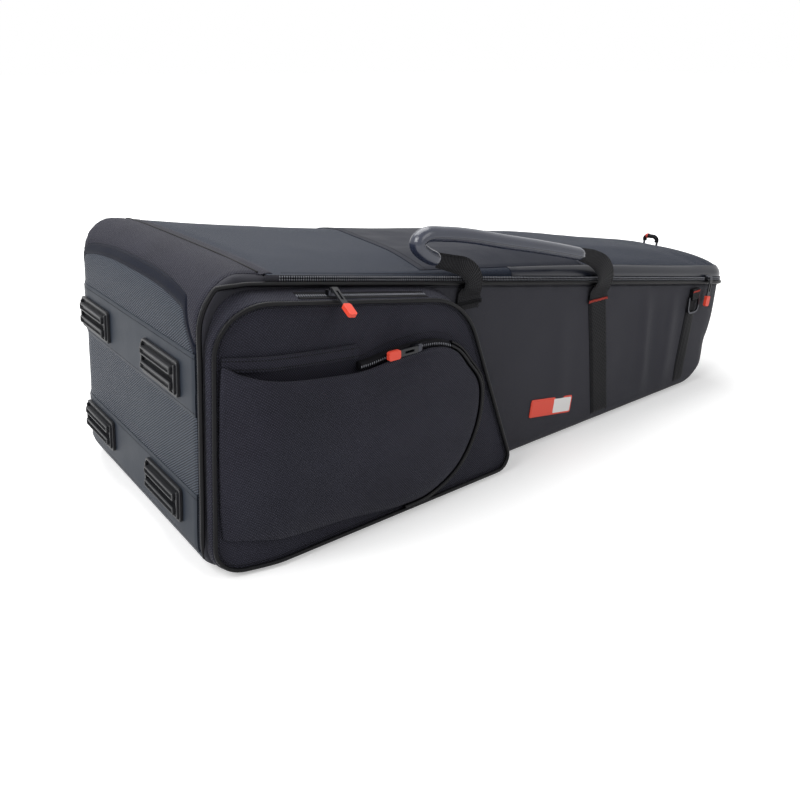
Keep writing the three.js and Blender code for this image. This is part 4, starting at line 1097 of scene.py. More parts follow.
class CASE_OT_body(bpy.types.Operator):
    """Padded body, padded lid and the cloth hinge between them"""

    bl_idname = "case.make_body"
    bl_label = "Body and lid"

    def execute(self, context):
        body = remeshed_node("body_padding", "case_shell", sizes().body_voxel, 4)
        round_narrow_corner(body)
        self.dress(body, "case", "case_shell", "side", "twill")
        self.dress(crowned_lid(), "lid", "lid_panel", "lid", "lid_fabric")
        self.make_hinge()
        return {"FINISHED"}

    def dress(self, made, body, node, outside, slot):
        """Shapes the skin, swells it on the lid, and lines the faces that look into the case."""
        shape_padding(made, body == "lid")
        lined = [int(not outward_of_core(face.center, face.normal)) for face in made.data.polygons]
        if body == "lid":
            swollen(made, lambda v: not outward_of_core(v.co, v.normal) or near_rim(v.co), 0.002)
        finish(made, [outside, "lining"], body, [node], 60, outward=False)
        made.data.polygons.foreach_set("material_index", lined)
        SURFACES[body] = surface_tree(made)

    def make_hinge(self):
        """A strip of twill sewn over the hinge seam, left free of the case's and the lid's bodies."""
        rings = []
        for i in range(15):
            x = HINGE_SEAM - 9 + 18 * i / 14
            line = []
            for k in range(49):
                y = (k / 24 - 1) * (half_width(x) - 6)
                before = x < HINGE_SEAM
                tree = SURFACES["case" if before else "lid"]
                sound = min(x, HINGE_SEAM - 4) if before else max(x, HINGE_SEAM + 4)
                place, _, _, _ = tree.ray_cast(row(sound, y, ABOVE), DOWN)
                if place is None:
                    raise RuntimeError("the hinge strip misses the lid")
                line.append(Vector((row(x, 0, 0).x, place.y, place.z)))
            rings.append(line)
        top = [[p + Vector((0, 0, 0.0011 - 0.0006 * (abs(i - 7) / 7) ** 4)) for p in line]
               for i, line in enumerate(rings)]
        low = [[p + Vector((0, 0, -0.0002)) for p in line] for line in rings]
        made = lofted("hinge_cloth", [a + b[::-1] for a, b in zip(top, low)])
        finish(made, ["twill"], "case")
        made.parent = None
        del made["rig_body"]
        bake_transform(made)


# Panels sewn on the bell end


def end_ray(share, run):
    """A ray onto the bell end and over its top, by a share across it and the run up the face."""
    quarter = TOP_ARC_RADIUS * math.pi / 2
    over = TOP_ARC_X + run - TOP_ARC_HEIGHT - quarter
    near = 32 if run <= TOP_ARC_HEIGHT else max(over, 32 + 0.5 * (run - TOP_ARC_HEIGHT))
    y = share * (half_width(near) - END_INSET)
    if run <= TOP_ARC_HEIGHT:
        return row(-80, y, run), Vector((1, 0, 0))
    if run <= TOP_ARC_HEIGHT + quarter:
        angle = (run - TOP_ARC_HEIGHT) / TOP_ARC_RADIUS
        aim = Vector((-math.cos(angle), 0, math.sin(angle)))
        return row(TOP_ARC_X, y, TOP_ARC_HEIGHT) + aim * 0.15, -aim
    return row(min(over, HINGE_SEAM - 3), y, ABOVE), DOWN


def run_at(height):
    """The run up the bell end's face and round its top arc at a height."""
    if height <= TOP_ARC_HEIGHT:
        return height
    share = min((height - TOP_ARC_HEIGHT) / TOP_ARC_RADIUS, 1)
    return TOP_ARC_HEIGHT + TOP_ARC_RADIUS * math.asin(share)


def end_seam(y, lift):
    """The bowed seam across the bell end, as a run up its face."""
    share = abs(y / (BELL_WIDTH / 2))
    shoulder = END_SHOULDER * smooth((share - 0.8) / 0.2)
    return run_at(END_SEAM_HEIGHT - END_SEAM_FALL * share ** CROWN_POWER - shoulder + lift)


def end_panel(name, lower, upper, finish_name, node, lift=PANEL_LIFT, thickness=PANEL_THICKNESS):
    """A panel between two seams that run across the bell end."""
    step = sizes().panel_step / MM
    columns = int(BELL_WIDTH / step)
    rows = max(5, int((upper(0) - lower(0)) / step))
    rays = []
    for r in range(rows + 1):
        line = []
        for c in range(columns + 1):
            share = c / columns * 2 - 1
            y = share * BELL_WIDTH / 2
            low, high = lower(y), upper(y)
            line.append(end_ray(share, low + (high - low) * r / rows))
        rays.append(line)
    hits = draped(SURFACES["case"], rays)
    made = sewn_panel(name, hits, lift, thickness)
    finish(made, [finish_name], "case", [node], 55)
    return hits


class CASE_OT_end_panels(bpy.types.Operator):
    """Coarse weave, vinyl strips, leather band and twill wrap of the bell end"""

    bl_idname = "case.make_end_panels"
    bl_label = "Bell end panels"

    def execute(self, context):
        end_panel("end_weave", lambda y: 9, lambda y: end_seam(y, 0), "weave", "bell_end_fabric")
        band = end_panel("end_leather_band", lambda y: end_seam(y, 0.5), lambda y: end_seam(y, 12),
                         "leather", "bell_end_band", thickness=1.5)
        last = TOP_ARC_HEIGHT + TOP_ARC_RADIUS * math.pi / 2 + HINGE_SEAM - 0.5 - TOP_ARC_X
        end_panel("end_twill_wrap", lambda y: end_seam(y, 12.5), lambda y: last, "twill",
                  "bell_top_wrap")
        lines = [seam_over(band[1], 1.7), seam_over(band[-2], 1.7)]
        for bottom, node in ((28, "bell_strip_lower"), (173, "bell_strip_upper")):
            hits = end_panel(node.replace("bell", "vinyl"), lambda y: bottom,
                             lambda y: bottom + STRIP_HEIGHT, "vinyl", node, 1.8)
            lines += [seam_over(hits[1], 3.0), seam_over(hits[-2], 3.0)]
        stitches("end_stitches", lines)
        return {"FINISHED"}


# Leatherette on the lid


class CASE_OT_lid_panels(bpy.types.Operator):
    """Leatherette patch across the lid and the band along its edge"""

    bl_idname = "case.make_lid_panels"
    bl_label = "Lid panels"

    def execute(self, context):
        rays = []
        for v in [r / 60 for r in range(61)]:
            line = []
            for u in [c / 72 for c in range(73)]:
                x = mixed(mixed(*PATCH_START, v), mixed(*PATCH_END, v), u)
                y = (v * 2 - 1) * (half_width(x) - 9.5)
                line.append((row(x, y, ABOVE), DOWN))
            rays.append(line)
        hits = draped(SURFACES["lid"], rays)
        patch = sewn_panel("lid_leather_patch", hits)
        finish(patch, ["leather"], "lid", ["lid_patch"], 55)
        lines = [seam_over([line[column] for line in hits], 1.6) for column in (2, -3)]
        lines.append(self.make_band())
        stitches("lid_stitches", lines, body="lid")
        return {"FINISHED"}

    def make_band(self):
        """The band along the lid's edge; gives its line of stitches."""
        outer = rim_path(0, BAND_LIFT, plan_distance(EDGE_BAND_START))
        rays = [[] for _ in range(9)]
        inner = rim_path(-BAND_WIDTH, BAND_LIFT, plan_distance(EDGE_BAND_START))
        for out, into in self.matched(outer, inner):
            away = out - into
            away.z = 0
            away.normalize()
            x = from_bell(out.x)
            for k in range(9):
                w = k / 8
                target = out.lerp(into, w)
                target.z += w * (0.55 * crown_rise(x) - BAND_LIFT) * MM
                direction = (away + UP).normalized()
                rays[k].append((target + direction * 0.06, -direction))
        hits = draped(SURFACES["lid"], rays)
        band = sewn_panel("lid_leather_band", hits)
        finish(band, ["edge"], "lid", ["lid_edge_band"], 55)
        return seam_over(hits[7], 1.6)

    def matched(self, outer, inner):
        """Even places of the outer line, each with the nearest place of the inner one."""
        line = evened(inner, 0.004)
        pairs = []
        for place in evened(outer, 0.008):
            pairs.append((place, min(line, key=lambda other: (other - place).length)))
        return pairs


# Piping


def arc_points(radius, before, corner, after):
    """The rounded corner at the middle one of three places."""
    steps = 10
    outline = rounded_outline([before, corner, after], [0, radius, 0], steps)
    return outline[steps + 1:2 * steps + 2]


def rim_cord_path():
    """Up the pocket side's bell corner, round its top and along the whole rim."""
    seat = 2.9
    corner_off = (BELL_FRONT_RADIUS + seat) * math.cos(math.pi / 4) - BELL_FRONT_RADIUS
    inset = -seat * math.cos(math.pi / 4)
    lean = math.atan(LEAN_RATE)

    def end_x(height):
        return height * LEAN_RATE + inset / math.cos(lean)

    def top_height(x):
        return zip_height(x) + LID_EDGE - inset

    far = CASE_LENGTH + BELL_HEIGHT
    top_corner = Vector((end_x(BELL_HEIGHT), top_height(end_x(BELL_HEIGHT))))
    low_corner = Vector((end_x(inset), inset))
    middle = Vector((end_x(BELL_HEIGHT / 2), BELL_HEIGHT / 2))
    low = arc_points(LOW_ARC_RADIUS - inset, middle, low_corner, Vector((CASE_LENGTH, inset)))
    top = arc_points(TOP_ARC_RADIUS - inset, Vector((far, top_height(far))), top_corner, middle)
    rising = [p for p in low[::-1] if p.y > 23]
    turning = [p for p in top[::-1] if p.y < zip_height(p.x) - 5.5]
    points = [on_side(p.x / math.cos(TAPER), p.y, seat - 2.2 * smooth((40 - p.y) / 17)) for p in rising]
    for step in range(1, 8):
        height = rising[-1].y + (turning[0].y - rising[-1].y) * step / 8
        points.append(on_side(height * LEAN_RATE - corner_off, height, corner_off))
    points += [on_side(p.x / math.cos(TAPER), p.y, seat) for p in turning]
    points += rim_path(seat, -5.5, HINGE_SEAM - 14)
    return points


def pocket_outline(inset, steps):
    """The large pocket's outline along and up the side, drawn in by an inset."""
    left = 4
    top_left = zip_height_along(left + 24) - POCKET_DROP
    corners = [
        Vector((left + 4 * LEAN_RATE, 4)),
        Vector((432, 4)),
        Vector((338, zip_height_along(338) - POCKET_DROP)),
        Vector((left + top_left * LEAN_RATE, top_left)),
    ]
    count = len(corners)
    lines = []
    for i, corner in enumerate(corners):
        run = (corners[(i + 1) % count] - corner).normalized()
        lines.append((corner + Vector((-run.y, run.x)) * inset, run))
    moved = []
    for i, (start, run) in enumerate(lines):
        before, last = lines[i - 1]
        gap = start - before
        share = gap.cross(run) / last.cross(run)
        moved.append(before + last * share)
    radii = [max(r - inset, 4) for r in POCKET_RADII]
    return rounded_outline(moved, radii, steps)


def pocket_line(inset, spacing, steps=12):
    """The large pocket's outline with even steps, flat."""
    return evened([Vector((p.x, p.y, 0)) for p in pocket_outline(inset, steps)], spacing, closed=True)


def dome_point(shares):
    """A place on the small pocket from its shares; the start leans with the bell end."""
    along, up = shares
    height = DOME_BOTTOM + up * DOME_HEIGHT
    return Vector((DOME_START + along * DOME_LENGTH + (1 - along) * height * LEAN_RATE, height))


def dome_outline():
    """The small pocket's outline, with the lift of its lip as the third coordinate."""
    places = []
    for i, shares in enumerate(DOME_SHARES):
        point = dome_point(shares)
        lip = LIP_SHARES[i] * DOME_LIP if i < len(LIP_SHARES) else 0
        places.append(Vector((point.x, point.y, lip)))
    return spline(places, DOME_SPAN)


class CASE_OT_piping(bpy.types.Operator):
    """Corded piping of the rim, both pockets and the hinge"""

    bl_idname = "case.make_piping"
    bl_label = "Piping"

    def execute(self, context):
        s = sizes()
        path = evened(spline(rim_cord_path(), 2), 0.005)
        radii = [s.rim_piping * (0.35 + 0.65 * smooth(i / 5)) for i in range(len(path))]
        finish(tube("rim_cord", path, radii), ["piping"], "case", ["rim_piping"])
        path = [pocket_place(p.x, p.y, POCKET_DEPTH + 2.7) for p in pocket_line(2.4, 5)]
        cord = tube("large_pocket_cord", path, s.pocket_piping, closed=True)
        finish(cord, ["piping"], "case", ["large_pocket_piping"])
        outline = dome_outline()
        middle = dome_point(DOME_MIDDLE)
        for name, reach, off, radius, replaced in (
            ("small_pocket_cord", 3.4, 31.0, s.dome_piping * 1.2, ["small_pocket_piping"]),
            ("small_pocket_outer_cord", 8.6, 28.4, s.dome_piping, []),
        ):
            rings = []
            for rim_point in outline[6 * DOME_SPAN + 4:14 * DOME_SPAN + 1]:
                away = (Vector(rim_point.xy) - middle).normalized()
                rings.append(self.welt(rim_point, away, reach, off, radius / MM))
            finish(lofted(name, rings), ["piping"], "case", replaced)
        face = []
        for p in pocket_line(7, 4):
            face.append(pocket_place(p.x, p.y, POCKET_DEPTH + 0.4 + pocket_puff(p.x, p.y, 0.03)))
        rows = [stitch_line(face, normal=FRONT)]
        for outward, lift in ((0.4, -10.5), (0.4, 5.2)):
            body = rim_path(outward, lift, plan_distance(HINGE_SEAM + 16))
            rows.append(stitch_line(body, normal=Vector((0, -0.9, 0.3))))
        stitches("rim_stitches", rows[:2])
        stitches("lid_rim_stitches", rows[2:], body="lid")
        self.make_hinge_cord()
        return {"FINISHED"}

    def welt(self, rim_point, away, reach, off, radius):
        """A section of a cord whose cloth runs down to the pocket's face."""
        ring = []
        for k in range(12):
            angle = 2 * math.pi * k / 12
            out = reach + radius * math.cos(angle)
            up = off + radius * math.sin(angle)
            if 8 <= k <= 10:
                up = POCKET_FACE
            ring.append(pocket_place(rim_point.x + away.x * out, rim_point.y + away.y * out, up))
        return ring

    def make_hinge_cord(self):
        """The thin cord in the seam before the hinge, which bends round to the zip's start."""
        x = HINGE_SEAM - 9.6
        wide = half_width(x)
        rays = [(row(x, y * wide, ABOVE), DOWN) for y in (0.93, 0.86, 0.6, 0.3, 0, -0.3, -0.6, -0.86)]
        for share, lean in ((0.93, 0.35), (0.965, 0.8)):
            aim = Vector((0, -lean, 1)).normalized()
            start = row(x + 3.5 * lean, -share * wide, zip_height(x) + 5) + aim * 0.1
            rays.append((start, -aim))
        hits = draped(SURFACES["case"], [rays])[0]
        path = [place + normal * 0.0013 for place, normal in hits]
        cord = tube("hinge_cord", evened(spline(path, 6), 0.005), 0.0013, 10)
        finish(cord, ["seam"], "case")


# Main zip


class CASE_OT_main_zip(bpy.types.Operator):
    """Tapes and teeth of the main zip, and its end tab"""

    bl_idname = "case.make_main_zip"
    bl_label = "Main zip"

    def execute(self, context):
        s = sizes()
        start = plan_distance(HINGE_SEAM + 13)
        for name, low, high, body, node in (
            ("zip_tape_body", -2.7, -0.25, "case", "main_zip_body_row"),
            ("zip_tape_lid", 0.25, 2.7, "lid", "main_zip_lid_row"),
        ):
            section = ((-1.4, low), (1.0, low), (1.0, high), (-1.4, high))
            lines = [rim_path(out, lift, start) for out, lift in section]
            rings = [list(ring) for ring in zip(*lines)]
            finish(lofted(name, rings), ["coil"], body, [node])
            middle = (low + high) / 2
            line = []
            for place, within in zip(rim_path(1.9, middle, start), rim_path(-1, middle, start)):
                line.append((place, UP, (place - within).normalized()))
            repeated(name.replace("tape", "teeth"), [line], s.tooth_pitch, 0.003, 0.0013, 0.002,
                     "teeth", body)
        made = new_object("zip_end_cover", merged_node("zip_end_tab"))
        bevelled(made, 0.0004, 2)
        finish(applied(made), ["side"], "case", ["zip_end_tab"])
        return {"FINISHED"}


# Pockets


def pocket_puff(along, height, share):
    """How far the large pocket's face stands out of its plane, in millimetres."""
    upper = smooth((height - (zip_height_along(along) - 66)) / 30) * smooth(share / 0.12)
    corner = bell_shaped(along, 372, 42) * bell_shaped(height, 70, 55) * smooth(share / 0.2)
    crease = -1.4 * bell_shaped(along, 226, 16) * upper
    return 1.1 * upper + 2.6 * corner + crease


def pocket_flare(along, height, off):
    """How far the top wall spreads up to the rim's piping as it nears the body, in millimetres."""
    top = zip_height_along(along) - POCKET_DROP
    return 9 * smooth((height - top + 40) / 40) * max(0, 1 - off / 21) ** 1.4


class CASE_OT_large_pocket(bpy.types.Operator):
    """Large pocket: a soft box with a zipped mouth in its top wall"""

    bl_idname = "case.make_large_pocket"
    bl_label = "Large pocket"

    def execute(self, context):
        outline = pocket_line(0, 4, 14)
        rings = []
        for off in WALL_ROWS:
            bow = 1.2 * math.sin(math.pi * off / POCKET_DEPTH)
            rings.append(self.ring(outline, 0, off, bow))
        rings.append(self.ring(outline, 0.004, 24.4, 0))
        for share in FACE_ROWS:
            rings.append(self.ring(outline, share, POCKET_DEPTH, 0, True))
        made = lofted("large_pocket_cloth", rings, caps=False)
        with edited(made.data) as work:
            hole = []
            for face in work.faces:
                centre = face.calc_center_median()
                along, off = self.side_place(centre)
                if MOUTH_START < along < MOUTH_END and 10 < off < 21 and centre.z > 0.2:
                    hole.append(face)
            bmesh.ops.delete(work, geom=hole, context="FACES")
            inner = []
            for edge in work.edges:
                if edge.is_boundary and all(self.side_place(v.co)[1] > 24 for v in edge.verts):
                    inner.append(edge)
            bmesh.ops.holes_fill(work, edges=inner)
            bmesh.ops.recalc_face_normals(work, faces=work.faces)
            if sum(f.normal.y for f in work.faces if abs(f.normal.y) > 0.9) > 0:
                bmesh.ops.reverse_faces(work, faces=work.faces)
        wall = made.modifiers.new("Cloth and foam", "SOLIDIFY")
        wall.thickness = 0.0026
        wall.offset = -1
        finish(applied(made), ["twill"], "case", ["large_pocket"], 50, outward=False)
        self.make_mouth()
        return {"FINISHED"}

    def ring(self, outline, share, off, bow, puffed=False):
        """A ring of the pocket's skin: its share of the way to the middle and its stand-off."""
        line = []
        for point in outline:
            away = (point - POCKET_MIDDLE).normalized()
            spread = bow + pocket_flare(point.x, point.y, off)
            place = point.lerp(POCKET_MIDDLE, share) + away * spread
            puff = pocket_puff(place.x, place.y, share) if puffed else 0
            line.append(pocket_place(place.x, place.y, off + puff))
        return line

    def side_place(self, place):
        """How far along the side a place is, and how far off it."""
        x, y = from_bell(place.x), -place.y / MM - BELL_WIDTH / 2
        off = x * math.sin(TAPER) + y * math.cos(TAPER)
        return x * math.cos(TAPER) - y * math.sin(TAPER), off

    def mouth_place(self, along, off, lift):
        """A place in the pocket's mouth, lifted from its top wall."""
        top = zip_height_along(along) - POCKET_DROP
        return on_side(along, top + pocket_flare(along, top, off) * 0.95 + lift, off)

    def make_mouth(self):
        """Zip tapes on both sides of the mouth, with the coil along their edges."""
        steps = [MOUTH_START + (MOUTH_END - MOUTH_START) * k / 40 for k in range(41)]
        for name, low, high, replaced in (
            ("large_pocket_tape_outer", 16.1, 22.5, ["large_pocket_zip"]),
            ("large_pocket_tape_inner", 8.5, 14.9, []),
        ):
            section = ((low, 0.1), (high, 0.1), (high, 0.9), (low, 0.7))
            rings = [[self.mouth_place(along, off, lift) for off, lift in section] for along in steps]
            finish(lofted(name, rings), ["coil"], "case", replaced)
        lines = []
        for off in (14.6, 16.4):
            lines.append([(self.mouth_place(along, off, 1.1), FRONT, UP) for along in steps])
        repeated("large_pocket_teeth", lines, sizes().tooth_pitch, 0.0026, 0.0013, 0.0015, "teeth",
                 "case")


def dome_surface(outline, share, off):
    """A ring of the small pocket's dome, by the share of the way to its middle."""
    middle = dome_point(DOME_MIDDLE)
    ring = []
    for rim in outline:
        lift = mixed(rim.z + DOME_WALL, DOME_RISE, crowned(share))
        x, y = mixed(rim.x, middle.x, share), mixed(rim.y, middle.y, share)
        ring.append((x, y, POCKET_FACE + lift + off))
    return ring


class CASE_OT_small_pocket(bpy.types.Operator):
    """Small pocket: a domed panel with a slip opening, a short zip and a stitched band"""

    bl_idname = "case.make_small_pocket"
    bl_label = "Small pocket"

    def execute(self, context):
        outline = dome_outline()
        rings = []
        for share in reversed(DOME_ROWS):
            rings.append([pocket_place(*p) for p in dome_surface(outline, share, -DOME_WALL)])
        for share in DOME_ROWS:
            rings.append([
                pocket_place(x, y, off + self.softness(x, y, share))
                for x, y, off in dome_surface(outline, share, 0)
            ])
        made = lofted("small_pocket_cloth", rings)
        held = (len(DOME_ROWS) + 2) * len(outline)
        swollen(made, lambda v: v.index < held, 0.0022, 3.0)
        finish(smoothed(made), ["twill"], "case", ["small_pocket"], 60)
        self.make_zip(outline)
        self.make_band()
        return {"FINISHED"}

    def softness(self, x, height, share):
        """Slow unevenness of the dome, in millimetres."""
        if share < 0.03:
            return 0
        slow = noise.noise(Vector((x, height, 0)) * 0.02) * 1.3
        return slow * smooth(share / 0.2)

    def make_zip(self, outline):
        """The zip's tape with a ridge for its teeth, and the arch of stitches above it."""
        line = outline[4 * DOME_SPAN:6 * DOME_SPAN + 5]
        section = ((0.3, POCKET_FACE), (0.3, 33.6), (3.4, 34.3), (7.3, 33.6), (7.3, POCKET_FACE))
        rings = [[on_side(p.x, p.y + up, off) for up, off in section] for p in line]
        finish(lofted("small_pocket_tape", rings), ["coil"], "case", ["small_pocket_zip"])
        teeth = [(on_side(p.x, p.y + 3.4, 34.2), UP, FRONT) for p in line]
        repeated("small_pocket_teeth", [teeth], sizes().tooth_pitch, 0.0036, 0.0013, 0.001, "teeth",
                 "case")
        arch = []
        for p in outline[4 * DOME_SPAN:7 * DOME_SPAN]:
            arch.append(on_side(p.x, p.y + 12 + 3 * smooth((p.x - line[0].x) / 40), 25.5))
        stitches("small_pocket_arch_stitches", [stitch_line(arch, normal=FRONT)])

    def make_band(self):
        """A folded band of twill above the slip opening, with two rows of stitches."""
        first, last = dome_point(DOME_SHARES[0]), dome_point((0.466, 0.833))
        start = Vector((first.x + 3, first.y - 8))
        end = Vector((last.x, last.y + 13))
        shoulder, crest, thread = 29.2, 29.9, 30.0
        rings, rows = [], [[], []]
        for k in range(41):
            place = start.lerp(end, k / 40)
            sag = 1.1 * math.sin(math.pi * k / 40)
            low, high = place.y - sag, place.y + 14 - sag
            section = (
                (low, POCKET_FACE), (low, shoulder), (low + 1, crest),
                (high - 1, crest), (high, shoulder), (high, POCKET_FACE),
            )
            rings.append([pocket_place(place.x, up, off) for up, off in section])
            rows[0].append(pocket_place(place.x, low + 2.6, thread))
            rows[1].append(pocket_place(place.x, high - 2.6, thread))
        finish(lofted("pocket_band_cloth", rings), ["twill"], "case", ["pocket_band"])
        box = [on_side(end.x - 8, end.y + v, thread) for v in (2.4, 5, 9, 11.6)]
        lines = [stitch_line(line, normal=FRONT) for line in (*rows, box)]
        stitches("pocket_band_stitches", lines, thickness=0.0014)


# Webbing


def webbing_node(name, node, body, sharp=35):
    """Webbing with the shape of its solid, mapped by its place along and up a side."""
    mesh = merged_node(node)
    places = [v.co for v in mesh.vertices]
    map_run(mesh, lambda i: (places[i].x + places[i].y, places[i].z))
    return finish(new_object(name, mesh), ["webbing"], body, [node], sharp)


def flat_strap(name, centre_line, width, side, node, thickness):
    """Webbing sewn flat on a side: the centre line is a list of (along, height)."""
    inward = -side_normal(side)
    rays = []
    for along, height in centre_line:
        rays.append([
            (on_side(along + (k / 10 - 0.5) * width, height, BESIDE, side), inward) for k in range(11)
        ])
    hits = draped(SURFACES["case"], rays)
    made = sewn_panel(name, hits, thickness=thickness)
    finish(made, ["webbing"], "case", [node], 50)
    return hits


def anchor_height(along):
    """The height at which a handle's loop is sewn down."""
    return zip_height_along(along) - ANCHOR_DROP


def steps_between(first, last, count):
    """Even steps from one place along a side to another."""
    return [
        tuple(a + (b - a) * i / count for a, b in zip(first, last)) for i in range(count + 1)
    ]


def bartack_line(along, height, off, side, length, tall):
    """A dense zigzag of thread."""
    count = int(length / 1.5)
    places = []
    for k in range(count + 1):
        x = along - length / 2 + length * k / count
        places.append(on_side(x, height + (tall / 2 if k % 2 else -tall / 2), off, side))
    return stitch_line(places, normal=side_normal(side))


def thick_thread(name, line, body, finish_name="thread", length=0.0013):
    """Thread laid so densely that its stitches run into one another."""
    repeated(name, [line], 0.0008, length, 0.001, 0.001, finish_name, body)


class CASE_OT_straps(bpy.types.Operator):
    """Webbing sewn flat on both sides, with red bartacks"""

    bl_idname = "case.make_straps"
    bl_label = "Flat straps"

    def execute(self, context):
        for side, prefix in ((-1, "front"), (1, "rear")):
            for end, top_along, low_along in (
                ("left", LEFT_STRAP, LEFT_STRAP - STRAP_SLANT),
                ("right", RIGHT_STRAP, RIGHT_STRAP + STRAP_SLANT),
            ):
                top = anchor_height(top_along) + 8
                short = side < 0 and end == "left"
                foot = (top_along, anchor_height(top_along) - 8) if short else (low_along, STRAP_FOOT)
                count = 8 if short else 48
                line = steps_between(foot, (top_along, top), count)
                name = f"{prefix}_strap_{end}"
                hits = flat_strap(name + "_webbing", line, WEBBING_WIDTH, side, name, 1.8)
                seams = [seam_over([line[column] for line in hits], 2.15) for column in (1, -2)]
                stitches(name + "_stitches", seams)
                tack = f"{prefix}_bartack_{end}"
                webbing_node(tack + "_base", tack, "case", 40)
                line = bartack_line(top_along, anchor_height(top_along), 4.0, side, 40, 3.2)
                thick_thread(tack + "_thread", line, "case", "seam" if short else "thread", 0.0014)
        return {"FINISHED"}


def section_axes(path, i, outward):
    """The run of a path at a point, the way across it and the way that it faces."""
    run = (path[min(i + 1, len(path) - 1)] - path[max(i - 1, 0)]).normalized()
    across = run.cross(outward).normalized()
    return run, across, across.cross(run).normalized()


def handle_path(shares, side):
    """Places of a handle from their shares."""
    places = []
    for u, v, w in shares:
        along = mixed(LEFT_STRAP, RIGHT_STRAP, u)
        places.append(on_side(along, anchor_height(along) + v * HANDLE_HEIGHT, w * GRIP_OFF, side))
    return places


def webbing_loop(name, shares, side, body, node, widths):
    """A loop of webbing that keeps facing outward and narrows into the grip."""
    per_span = 8
    path = spline(handle_path(shares, side), per_span)
    outward = side_normal(side)
    rings, edges = [], [[], []]
    last = len(shares) - 1
    for i, place in enumerate(path):
        share = i / per_span
        low = min(int(share), last - 1)
        width = mixed(widths[low], widths[low + 1], share - low)
        run, across, facing = section_axes(path, i, outward)
        half = width * WEBBING_WIDTH / 2 * MM
        bow = (1 - width) * 0.004
        ring = []
        for face in (1, -1):
            for k in range(9):
                t = face * (k / 4 - 1)
                rounding = face * RIBBON_HALF * (1 if abs(t) < 0.99 else 0.45)
                ring.append(place + across * half * t + facing * (rounding - bow * t * t))
        rings.append(ring)
        for edge, t in zip(edges, (-0.84, 0.84)):
            edge.append((place + across * half * t + facing * (RIBBON_HALF + 0.0002), run, facing))
    across = [k / 8 * WEBBING_WIDTH * MM for k in range(9)]
    made = lofted(name, rings, across=across + across[::-1] + [0])
    finish(made, ["webbing"], body, [node], 50)
    return edges


class CASE_OT_handles(bpy.types.Operator):
    """Padded grips and their webbing loops"""

    bl_idname = "case.make_handles"
    bl_label = "Handles"

    def execute(self, context):
        for side, prefix, grip, left, right in (
            (-1, "front", FRONT_GRIP, FRONT_LEFT, FRONT_RIGHT),
            (1, "rear", REAR_GRIP, REAR_LEFT, REAR_RIGHT),
        ):
            body = prefix + "_handle"
            edges = []
            for end, shares, widths in (
                ("left", left, TWISTED_WIDTHS if side < 0 else RIBBON_WIDTHS),
                ("right", right, RIBBON_WIDTHS),
            ):
                edges += webbing_loop(f"{prefix}_webbing_{end}", shares, side, body,
                                      f"{prefix}_handle_loop_{end}", widths)
            clear = [edge[LOOP_SEWN_FROM:] for edge in edges]
            repeated(prefix + "_loop_stitches", clear, sizes().stitch_pitch, 0.0024, 0.0007, 0.0006,
                     "seam", body)
            self.make_grip(prefix, grip, side, body)
        return {"FINISHED"}

    def make_grip(self, prefix, shares, side, body):
        """A foam core wrapped in leatherette, closed by a raised stitched seam."""
        radius = sizes().grip_radius
        path = evened(spline(handle_path(shares, side), 10), 0.004)
        outward = side_normal(side)
        rings, seam = [], []
        count = len(path)
        for i, place in enumerate(path):
            run, across, facing = section_axes(path, i, outward)
            ends = min(i, count - 1 - i)
            full = radius * (0.72 if ends == 0 else 0.93 if ends == 1 else 1.0)
            ring = []
            for k in range(24):
                angle = 2 * math.pi * k / 24
                size = full * (1 - 0.06 * math.cos(2 * angle))
                if k == 7:
                    size *= 1.12
                if k in (6, 8):
                    size *= 0.97
                ring.append(place + (across * math.cos(angle) + facing * math.sin(angle)) * size)
            rings.append(ring)
            angle = 2 * math.pi * 7 / 24
            spoke = across * math.cos(angle) + facing * math.sin(angle)
            seam.append((place + spoke * full * 1.1, run, spoke))
        made = smoothed(lofted(prefix + "_grip_cover", rings))
        finish(made, ["grip"], body, [prefix + "_handle_grip"], 60)
        stitches(prefix + "_grip_stitches", [seam[2:-2]], body=body)


# Rings, tag and hardware


class CASE_OT_rings(bpy.types.Operator):
    """Rings, their webbing tabs and the webbing below the front ring"""

    bl_idname = "case.make_rings"
    bl_label = "Rings"

    def execute(self, context):
        top = (RING_ALONG, zip_height_along(RING_ALONG) - 33.5)
        line = steps_between((RING_ALONG - 15, STRAP_FOOT), top, 30)
        flat_strap("ring_webbing", line, 24, -1, "front_ring_web", 1.1)
        webbing_node("front_ring_tab_webbing", "front_ring_tab", "case")
        webbing_node("end_ring_tab_webbing", "end_ring_tab", "lid")
        height = anchor_height(RING_ALONG) + 10
        thick_thread("ring_thread", bartack_line(RING_ALONG, height, 7.0, -1, 17, 2.4), "case")
        low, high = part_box("end_ring_tab")
        places = []
        for k in range(13):
            y = low.y + (high.y - low.y) * k / 12
            places.append(Vector((high.x + 0.0003, y, high.z - 0.004 - (0.0018 if k % 2 else 0))))
        thick_thread("end_ring_thread", stitch_line(places, normal=Vector((1, 0, 0))), "lid")
        self.make_sleeve()
        return {"FINISHED"}

    def make_sleeve(self):
        """Webbing wrapped round the end ring's bar, bound with red thread."""
        low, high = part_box("end_ring")
        middle, wire = (low.x + high.x) / 2, (high.x - low.x) / 2
        left, right, top = low.y + wire, high.y - wire, high.z - wire
        corners = [
            (left, high.z - 0.011), (left, high.z - 0.006), (left + 0.005, top),
            ((left + right) / 2, top),
            (right - 0.005, top), (right, high.z - 0.006), (right, high.z - 0.011),
        ]
        path = evened(spline([Vector((middle, y, z)) for y, z in corners], 6), 0.002)
        finish(tube("end_ring_sleeve", path, wire + 0.0012, 16), ["webbing"], "end_ring")
        bound = path[len(path) * 5 // 8:len(path) * 6 // 8]
        thread = tube("end_ring_binding", bound, wire + 0.0019, 16)
        finish(thread, ["thread"], "end_ring")


